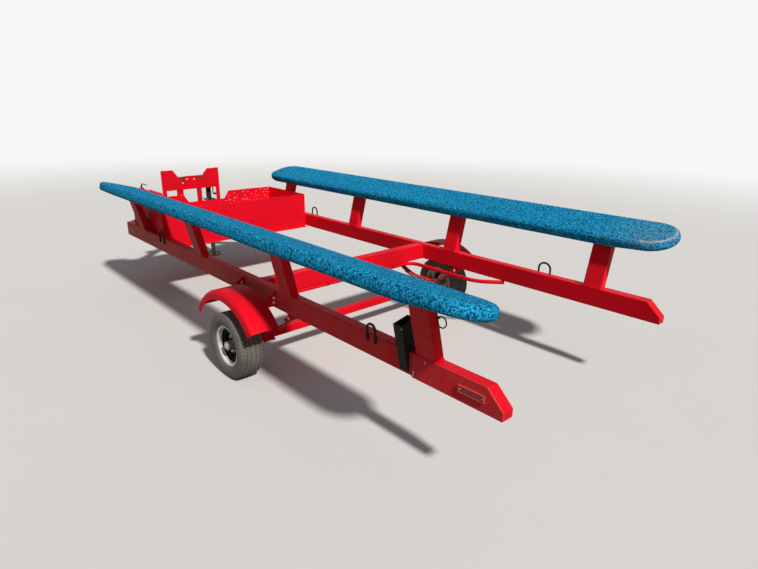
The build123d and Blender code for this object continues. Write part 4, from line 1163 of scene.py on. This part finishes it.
# Columns: across from the wheel's middle plane towards the outside, radius, in millimetres
RIM_OUTLINE = (
    (66.8, 139.2), (69.6, 139.4), (71.2, 138), (71.2, 135.6), (69.5, 132), (68.6, 125.2), (66, 122.9),
    (48, 122.2), (45.5, 119.8), (42.5, 119.8), (40, 122), (33, 121), (26, 104.5), (22, 101.8), (-20, 101.8),
    (-26, 104.5), (-33, 121), (-48, 122.2), (-66, 122.9), (-68.6, 125.2), (-69.5, 132), (-71.2, 135.6),
    (-71.2, 138), (-69.6, 139.4), (-66.8, 139.2), (-66.2, 128), (-64, 126.4), (-36, 125.6), (-30, 124),
    (-23, 106.6), (-18, 105.2), (18, 105.2), (23, 106.6), (30, 124), (36, 125.6), (64, 126.4), (66.2, 128))
DISC_OUTLINE = (
    (26, 101.4), (18, 100.6), (10, 96), (7.5, 88), (9.5, 80), (16, 73), (18, 68), (18, 36), (20.5, 32),
    (20.5, 28.8), (12.1, 28.8), (12.1, 68), (10, 70), (4, 78), (1.5, 88), (4, 98.5), (12, 104), (24, 105))
# The rim's slope down to the disc is black: its reach outwards from the middle plane, and its radius
SLOPE_REACH, SLOPE_RADIUS = (0.021, 0.0385), 0.1232
# Columns: metres out from the middle plane, radius, height of the hub cap's steps
HUB_CAP = ((0.0205, 0.0292, 0.004), (0.067, 0.0288, 0.004), (0.074, 0.019, 0.0022))
# Metres out from the middle plane to the disc's face, and the size, thread and first turn of the nuts
DISC_FACE, NUT_SIZE, NUT_THREAD, NUT_TURN = 0.018, 0.019, 0.007, 0.4
# Metres out and away from the axle where the valve stands, its turn, and how it leans
VALVE_OUT, VALVE_AWAY, VALVE_TURN, VALVE_LEAN = 0.034, 0.113, radians(118), (0.93, -0.36)
# Columns: metres up the valve, radius, height, sides, radius at the top, how far the edge is broken
VALVE = (
    (0.0, 0.0072, 0.010, 14, 0.0052, 0.12), (0.010, 0.0036, 0.014, 12, None, 0),
    (0.024, 0.0046, 0.011, 10, None, 0.12))


def rim_part(bm, hub, out, outline):
    """Turned rim or disc, with the rim's slope down to the disc marked for the dark paint."""
    spun(bm, metres(outline), facing(hub, out), 96)
    for face in bm.faces:
        away = face.calc_center_median() - hub
        along = away.dot(out)
        slope = SLOPE_REACH[0] < along < SLOPE_REACH[1]
        face.material_index = int(slope and (away - out * along).length < SLOPE_RADIUS)


def wheel_nuts(bm, hub, out):
    """Nuts on the disc."""
    s = bpy.context.scene.trailer_wheels
    for i in range(s.nuts):
        turn = 2 * pi * i / s.nuts + NUT_TURN
        at = hub + Vector((out.x * DISC_FACE, s.nut_circle * sin(turn), s.nut_circle * cos(turn)))
        hex_bolt(bm, at, out, NUT_SIZE, spin=turn, thread=NUT_THREAD)


def hub_cap(bm, hub, out):
    """Stepped cap over the hub."""
    for along, radius, height in HUB_CAP:
        disc_piece(bm, hub + out * along, out, radius, height, segments=40)


def tyre_valve(bm, hub, out):
    """Valve that leans out of the rim."""
    away = Vector((0, sin(VALVE_TURN), cos(VALVE_TURN)))
    base = hub + out * VALVE_OUT + away * VALVE_AWAY
    lean = (out * VALVE_LEAN[0] + away * VALVE_LEAN[1]).normalized()
    for along, radius, height, sides, top, soften in VALVE:
        disc_piece(bm, base + lean * along, lean, radius, height, sides, top, soften=soften)


class TRAILER_OT_rims(bpy.types.Operator):
    """Model the rims, their discs, nuts, valves and caps"""
    bl_idname = "trailer.rims"
    bl_label = "Rims"

    def execute(self, context):
        dark = dark_paint("disc_black", (0.006, 0.006, 0.006, 1), chips=0.12, dusty=0.05, roughness=0.6)
        steel = metal_material("cap_steel", (0.70, 0.69, 0.66, 1), 0.14, 0.2, 0.32, 0.7)
        for word, side in SIDES:
            place = Vector((side * WHEEL_X, AXLE_Y, AXLE_Z)), Vector((side, 0, 0))
            body = f"wheel_{word}"
            for label, outline, material in (
                    ("wheel_rim", RIM_OUTLINE, MATERIALS["rim_silver"]),
                    ("wheel_disc", DISC_OUTLINE, dark)):
                piece = add_piece(f"{label}_{word}", "rim_silver", [material, dark], rim_part, *place,
                                  outline, body=body, smooth=38)
                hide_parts(f"rim_{word}")
            for label, slot, material, lay in (
                    ("wheel_nuts", "hub_steel", zinc(), wheel_nuts),
                    ("hub_cap", "hub_steel", steel, hub_cap),
                    ("tyre_valve", "rim_silver", zinc(), tyre_valve)):
                add_piece(f"{label}_{word}", slot, [material], lay, *place, body=body)
        return {"FINISHED"}


# Length of a post's foot along the rail
POST_LENGTH = 0.127
# Half width of the drawbar under the head board's frame
DRAWBAR_HALF = 0.033
# The frame's two uprights: middle and half width of each, depth, height of the foot over the rails
UPRIGHTS = ((-0.130, 0.032), (0.092, 0.023))
UPRIGHT_DEPTH, UPRIGHT_FOOT = 0.030, 0.060
# Distances out where the stays meet the drawbar and the rails
STAY_ENDS = (0.034, 0.820)
# Reach of the box's corner beads below the rails' top, and width of a lashing loop's bar
WALL_DROP = 0.138
LOOP_BAR = 0.014


def post_welds(bm, size):
    """Beads round the feet of the eight posts."""
    for place in ("rear", "axle", "middle", "front"):
        low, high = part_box(f"posts_{place}")
        for side in BOTH:
            start = high[1] - POST_LENGTH if side > 0 else low[1]
            near, far = sorted(side * x for x in RAIL_FACES)
            seam_round(bm, (near, start, RAIL_TOP), (far, start + POST_LENGTH, RAIL_TOP), size)


def frame_welds(bm, size):
    """Beads of the cross members, the head board's frame and the stays."""
    for node in ("crossmember_main", "crossmember_front"):
        low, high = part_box(node)
        for side in BOTH:
            x = side * (RAIL_IN - 0.001)
            seam_round(bm, (x, low[1], RAIL_BOTTOM), (x, high[1], RAIL_TOP), size, axis=0)
    low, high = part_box("headboard_frame")
    for x in (-DRAWBAR_HALF, DRAWBAR_HALF):
        weld_bead(bm, (x, low[1], RAIL_TOP), (x, high[1], RAIL_TOP), size)
    foot = RAIL_TOP + UPRIGHT_FOOT
    for x, half in UPRIGHTS:
        seam_round(bm, (x - half, low[1], foot), (x + half, low[1] + UPRIGHT_DEPTH, foot), size * 0.8)
    low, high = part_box("stay_right")
    for side in BOTH:
        for x, y in zip(STAY_ENDS, (high[1], low[1] + 0.001)):
            weld_bead(bm, (side * x, y, low[2]), (side * x, y, high[2]), size)


def box_welds(bm, size):
    """Upright beads in the four corners of the box."""
    rear_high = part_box("box_wall_rear")[1]
    front_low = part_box("box_wall_front")[0]
    for side in BOTH:
        x = side * (RAIL_IN - 0.004)
        for y in (rear_high[1], front_low[1]):
            ends = (x, y, RAIL_TOP - WALL_DROP), (x, y, rear_high[2] - 0.002)
            weld_bead(bm, *ends, size * 0.7, seed=side)


def loop_welds(bm, size):
    """Beads on both sides of the lashing loops' feet."""
    for node in ("lashing_loops_rear", "lashing_loops_front"):
        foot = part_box(node)[0][2] + 0.001
        for side in BOTH:
            x = side * LOOP_FACE
            along = [v.co.y for v in frame["nodes"][node].data.vertices if v.co.x * side > 0]
            for y in (min(along), min(along) + LOOP_BAR, max(along) - LOOP_BAR, max(along)):
                weld_bead(bm, (x, y, foot), (x, y, RAIL_TOP - 0.002), size * 0.7)


class TRAILER_OT_welds(bpy.types.Operator):
    """Lay weld beads round the joints of the frame"""
    bl_idname = "trailer.welds"
    bl_label = "Welds"

    def execute(self, context):
        size = context.scene.trailer_hardware.weld
        for name, finish, lay in (
                ("post_welds", "rail_paint", post_welds), ("frame_welds", "red_paint", frame_welds),
                ("box_welds", "box_paint", box_welds), ("loop_welds", "loop_brown", loop_welds)):
            add_piece(name, "red_paint", [MATERIALS[finish]], lay, size, smooth=60)
        return {"FINISHED"}


# Spring pins: millimetres from the rails' rear tips, height in millimetres
PINS = ((2254.0, 362.8), (1669.0, 418.7), (1615.0, 452.7))
PIN_ENDS = ((0.8353, 1), (0.7727, -1))
# Middle and radius of the leaves' curve
LEAF_CENTRE, LEAF_RADIUS = (station(2000.0), 0.7875), 0.5105
# Leaf clips: places from the axle, half sizes, and reach of the rivets
CLIP_REACH, CLIP_HALF, RIVET_HALF = (-0.118, 0.124), (0.0272, 0.011, 0.0125), 0.0270
# U-bolts: reach from the clamp plate's middle, and the nuts' radius
U_BOLT_REACH, U_NUT = (-0.032, 0.032), 0.0095


def u_bolt_nuts(bm):
    """Nuts under and over the clamp plates."""
    low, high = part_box("clamp_right")
    for side in BOTH:
        for dx in U_BOLT_REACH:
            for dy in U_BOLT_REACH:
                x, y = side * RAIL_X + dx, AXLE_Y + dy
                under, over = low[2] + 0.0005, high[2] - 0.0215
                disc_piece(bm, (x, y, under), UPWARDS, U_NUT, 0.0075, segments=6, spin=dx + dy)
                disc_piece(bm, (x, y, over), UPWARDS, U_NUT, 0.0080, segments=6, spin=dx - dy)


def spring_pin_nuts(bm):
    """Nuts on both ends of the springs' pins."""
    for side in BOTH:
        for along, z in PINS:
            for x, way in PIN_ENDS:
                at = (side * x, station(along), z / 1000)
                disc_piece(bm, at, (side * way, 0, 0), 0.0105, 0.0068, segments=6, spin=along)


def leaf_clips(bm):
    """Clips that hold the leaves together, with their rivets."""
    half_x, half_y, half_z = CLIP_HALF
    for side in BOTH:
        for reach in CLIP_REACH:
            turn = asin((AXLE_Y + reach - LEAF_CENTRE[0]) / LEAF_RADIUS)
            at = Matrix.Translation((side * RAIL_X, *LEAF_CENTRE)) @ Matrix.Rotation(turn, 4, "X")
            softened_box(bm, (-half_x, -half_y, -LEAF_RADIUS - half_z),
                         (half_x, half_y, -LEAF_RADIUS + half_z), 0.0015, at)
            for way in BOTH:
                rivet = at @ Vector((way * RIVET_HALF, 0, -LEAF_RADIUS))
                disc_piece(bm, rivet, (way, 0, 0), 0.006, 0.004, segments=10)


class TRAILER_OT_springs(bpy.types.Operator):
    """Add the nuts and leaf clips of the two springs"""
    bl_idname = "trailer.springs"
    bl_label = "Spring Fixings"

    def execute(self, context):
        paint = MATERIALS["spring_paint"]
        add_piece("u_bolt_nuts", "spring_steel", [paint], u_bolt_nuts)
        add_piece("spring_pin_nuts", "spring_steel", [zinc()], spring_pin_nuts)
        add_piece("leaf_clips", "spring_steel", [paint], leaf_clips)
        return {"FINISHED"}


# Fender bolts: distance out, places from the axle, heights over the ground
FENDER_BOLTS = (0.858, (-0.209, 0.201), (0.560, 0.530))
# Head board's bolts: distances out of its end bolts, and heights over the rails' top
BOARD_ENDS = (-0.3075, 0.3075)
END_HEIGHTS, UPRIGHT_HEIGHTS = (0.028, 0.048), (0.235, 0.275)
# Jack's bolts: distances from its middle, places ahead of its flange's rear edge, height over the rails
JACK_BOLTS = ((-0.042, 0.042), (0.014, 0.086), 0.070)
# Latch's pivot: distance out, place behind the latch's front end, height over the rails' top
LATCH_PIVOT = (0.009, 0.022, 0.051)
# Columns: millimetres from the rails' rear tips, distance out, height over the rails' top
COUPLER_BOLTS = ((5790, 0.0384, -0.055), (5985, 0.0384, -0.055), (6070, 0.0310, 0.024))


def hex_bolts(bm, rows):
    """Bolts from rows of place, axis, size, spin and length of thread."""
    for row in rows:
        hex_bolt(bm, *row)


class TRAILER_OT_bolts(bpy.types.Operator):
    """Add the bolts of fenders, head board, jack and coupler"""
    bl_idname = "trailer.bolts"
    bl_label = "Bolts"

    def execute(self, context):
        across = context.scene.trailer_hardware.bolt
        out, ends, heights = FENDER_BOLTS
        add_piece("fender_bolts", "red_paint", [zinc()], hex_bolts, [
            ((side * out, AXLE_Y + end, z), REARWARDS, across * 0.8, 0.2)
            for side in BOTH for end in ends for z in heights])
        rows = [((x, BOARD_Y, RAIL_TOP + rise), REARWARDS, across * 0.75, (RAIL_TOP + rise) * 40)
                for x in BOARD_ENDS for rise in END_HEIGHTS]
        rows += [((x, BOARD_Y, RAIL_TOP + rise), REARWARDS, across * 0.6, rise * 40)
                 for x, _ in UPRIGHTS for rise in UPRIGHT_HEIGHTS]
        add_piece("headboard_bolts", "red_paint", [MATERIALS["board_paint"]], hex_bolts, rows)
        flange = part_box("jack_tube")[0][1]
        places, ends, rise = JACK_BOLTS
        add_piece("jack_bolts", "jack_black", [zinc()], hex_bolts, [
            ((JACK_X + x, flange + y, RAIL_TOP + rise), UPWARDS, across * 0.8, x * 9 + y)
            for x in places for y in ends])
        out, back, rise = LATCH_PIVOT
        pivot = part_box("coupler_latch")[1][1] - back
        rows = []
        for side in BOTH:
            axis = (side, 0, 0)
            rows += [((side * x, station(along), RAIL_TOP + z), axis, across, along, 0.006)
                     for along, x, z in COUPLER_BOLTS]
            rows.append(((side * out, pivot, RAIL_TOP + rise), axis, across * 0.6))
        add_piece("coupler_bolts", "coupler_dark", [zinc()], hex_bolts, rows)
        return {"FINISHED"}


# Columns: lower and upper end, radius of the jack's collars
COLLARS = ((0.800, 0.846, 0.0322), (0.915, 0.922, 0.0305), (0.331, 0.351, 0.0310))
COLLAR_BORE, COLLAR_BEVEL = 0.0284, 0.002
# Columns: along the grip from its inner end, radius, in millimetres
GRIP_OUTLINE = (
    (0, 0), (0, 8), (1.5, 9.5), (6, 10.5), (17, 11.5), (28, 10.5), (34, 9), (36, 6.5), (36.5, 0))
# Start of the grip behind the crank's outer end, and its middle over the crank's lowest point
GRIP_BACK, GRIP_RISE = 0.0345, 0.006


def jack_collars(bm, y):
    """Collars round the jack's tube."""
    for low, high, radius in COLLARS:
        inner = radius - COLLAR_BEVEL
        outline = ((low, COLLAR_BORE), (low, inner), (low + COLLAR_BEVEL, radius),
                   (high - COLLAR_BEVEL, radius), (high, inner), (high, COLLAR_BORE))
        spun(bm, outline, Matrix.Translation((JACK_X, y, 0)), 48)


class TRAILER_OT_jack(bpy.types.Operator):
    """Add the jack's collars and crank grip"""
    bl_idname = "trailer.jack"
    bl_label = "Jack Trim"

    def execute(self, context):
        y = middle_of("jack_ram")[1]
        add_piece("jack_collars", "jack_black", [MATERIALS["jack_black"]], jack_collars, y)
        low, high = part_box("jack_crank")
        place = facing((high[0] - GRIP_BACK, y, low[2] + GRIP_RISE), (1, 0, 0))
        knob = dark_paint("knob_black", (0.008, 0.008, 0.008, 1), chips=0.1, dusty=0.15, roughness=0.5)
        add_piece("crank_grip", "jack_black", [knob], spun, metres(GRIP_OUTLINE), place, 24, False)
        return {"FINISHED"}


# Side lamps: depth of the housing's rim, thickness of the lens, gap round it, screws from the ends
LAMP_RIM, LENS_THICK, LENS_GAP, SCREW_INSET = 0.005, 0.0020, 0.0084, 0.010


def lamp_lenses(bm, node):
    """Ribbed lenses of a pair of lamps."""
    low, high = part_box(node)
    y, z = middle_of(node)[1:]
    size = (LENS_THICK, high[1] - low[1] - LENS_GAP, high[2] - low[2] - LENS_GAP, 1)
    for side in BOTH:
        middle = Matrix.Translation((side * (high[0] - LAMP_RIM + LENS_THICK / 2), y, z))
        made = bmesh.ops.create_cube(bm, size=1, matrix=middle @ Matrix.Diagonal(size))
        edges = [e for e in edges_of(made) if abs((e.verts[0].co - e.verts[1].co).y) > 0.05]
        bmesh.ops.subdivide_edges(bm, edges=edges, cuts=24, use_grid_fill=True)
        bm.normal_update()
        ribs = [f for f in bm.faces if f.normal.x * side > 0.9]
        ribs = sorted(ribs, key=lambda f: f.calc_center_median().y)[1:-1:2]
        bmesh.ops.inset_individual(bm, faces=ribs, thickness=0.0008, depth=0.0012)


def lamp_screws(bm, node):
    """Screws at both ends of a pair of lamps."""
    low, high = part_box(node)
    z = middle_of(node)[2]
    for side in BOTH:
        for end in (low[1] + SCREW_INSET, high[1] - SCREW_INSET):
            at = (side * (high[0] - LAMP_RIM + LENS_THICK), end, z)
            disc_piece(bm, at, (side, 0, 0), 0.0034, 0.0022, segments=14, soften=0.2)


class TRAILER_OT_lamps(bpy.types.Operator):
    """Add the lenses and screws of the side lamps"""
    bl_idname = "trailer.lamps"
    bl_label = "Side Lamps"

    def execute(self, context):
        lens = lens_material()
        for place in ("rear", "front"):
            node = f"side_lamps_{place}"
            add_piece(f"lamp_lenses_{place}", "red_paint", [lens], lamp_lenses, node, smooth=30)
            add_piece(f"lamp_screws_{place}", "red_paint", [zinc()], lamp_screws, node)
        return {"FINISHED"}


# Conduit clips: places across, and the section of the band round the pipe
CLIP_PLACES = (-0.60, -0.25, 0.10, 0.42)
BAND_HALF, BAND_BORE, BAND_RADIUS = 0.007, 0.0152, 0.0168
# Radius of the pipe, and how far behind its middle the tab and the screw stand
PIPE_RADIUS, TAB_ENDS, TAB_SCREW = 0.015, (0.034, 0.006), 0.026


def conduit_clips(bm):
    """Bands round the pipe, each with its tab and screw."""
    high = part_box("conduit")[1]
    y, z = high[1] - PIPE_RADIUS, middle_of("conduit")[2]
    tab = high[2] - 0.0012
    outline = ((-BAND_HALF, BAND_BORE), (-BAND_HALF, BAND_RADIUS),
               (BAND_HALF, BAND_RADIUS), (BAND_HALF, BAND_BORE))
    for x in CLIP_PLACES:
        spun(bm, outline, facing((x, y, z), (1, 0, 0)), 28)
        softened_box(bm, (x - BAND_HALF, y - TAB_ENDS[0], tab),
                     (x + BAND_HALF, y - TAB_ENDS[1], high[2] + 0.0004), 0.0005)
        disc_piece(bm, (x, y - TAB_SCREW, tab), (0, 0, -1), 0.005, 0.003, segments=6)


class TRAILER_OT_clips(bpy.types.Operator):
    """Add the clips that hold the wiring conduit"""
    bl_idname = "trailer.clips"
    bl_label = "Conduit Clips"

    def execute(self, context):
        add_piece("conduit_clips", "red_paint", [MATERIALS["red_paint"]], conduit_clips)
        return {"FINISHED"}


# Tie ring: its middle, where its eye stands off that, the eye's half width, depth and wire
RING_CENTRE = (-0.840, station(359.5), RAIL_TOP + 0.214)
EYE_OFFSET = (0, 0.0225, 0.0130)
EYE_HALF, EYE_DEPTH, EYE_WIRE = 0.0075, 0.0068, 0.0024
EYE_FOOT = station(389)


def ring_and_eye(bm, radius, wire):
    """Wire ring that hangs in a bent eye."""
    centre = Vector(RING_CENTRE)
    turns = [2 * pi * i / 32 for i in range(32)]
    circle = [centre + radius * Vector((0, sin(a), cos(a))) for a in turns]
    tube_along(bm, circle, wire, 8, closed=True)
    hold = centre + Vector(EYE_OFFSET)
    arch = [hold + Vector((EYE_HALF * cos(a), -EYE_DEPTH * sin(a) - 0.0005, 0)) for a in turns[:17:2]]
    first, last = (Vector((p.x, EYE_FOOT, p.z)) for p in (arch[0], arch[-1]))
    tube_along(bm, [first] + arch + [last], EYE_WIRE, 8)


class TRAILER_OT_ring(bpy.types.Operator):
    """Hang the tie ring in its eye behind the left rear post"""
    bl_idname = "trailer.ring"
    bl_label = "Tie Ring"

    def execute(self, context):
        s = context.scene.trailer_hardware
        metal = dark_paint("ring_brown", (0.040, 0.017, 0.011, 1), chips=0.3, dusty=0.15, roughness=0.6)
        add_piece("tie_ring", "red_paint", [metal], ring_and_eye, s.ring, s.ring_wire)
        return {"FINISHED"}


class TRAILER_PT_panel(bpy.types.Panel):
    """Lists the trailer's steps and settings"""
    bl_label = "Boat Trailer"
    bl_idname = "TRAILER_PT_panel"
    bl_space_type = "VIEW_3D"
    bl_region_type = "UI"
    bl_category = "Boat Trailer"

    def draw(self, context):
        layout = self.layout
        for name in STEPS:
            layout.operator(f"trailer.{name}")
        for owner in SETTINGS:
            block = layout.box()
            group = getattr(context.scene, owner)
            for key in type(group).__annotations__:
                block.prop(group, key)


SETTINGS = {
    "trailer_paint": TrailerPaintSettings, "trailer_bunks": TrailerBunkSettings,
    "trailer_wheels": TrailerWheelSettings, "trailer_hardware": TrailerHardwareSettings,
    "trailer_stage": TrailerStageSettings,
}
STEPS = (
    "stage", "finishes", "bunks", "tyres", "rims", "welds", "springs", "bolts", "jack", "lamps", "clips",
    "ring")
CLASSES = tuple(SETTINGS.values()) + (
    TRAILER_OT_stage, TRAILER_OT_finishes, TRAILER_OT_bunks, TRAILER_OT_tyres, TRAILER_OT_rims,
    TRAILER_OT_welds, TRAILER_OT_springs, TRAILER_OT_bolts, TRAILER_OT_jack, TRAILER_OT_lamps,
    TRAILER_OT_clips, TRAILER_OT_ring, TRAILER_PT_panel)


def register():
    """Register the classes and hang the settings on the scene."""
    for item in CLASSES:
        bpy.utils.register_class(item)
    for owner, kind in SETTINGS.items():
        setattr(bpy.types.Scene, owner, bpy.props.PointerProperty(type=kind))


def unregister():
    """Take the settings and classes away again."""
    for owner in SETTINGS:
        delattr(bpy.types.Scene, owner)
    for item in reversed(CLASSES):
        bpy.utils.unregister_class(item)


def main():
    """Register the classes and build everything in order."""
    register()
    for name in STEPS:
        getattr(bpy.ops.trailer, name)()


if __name__ == "__main__":
    main()
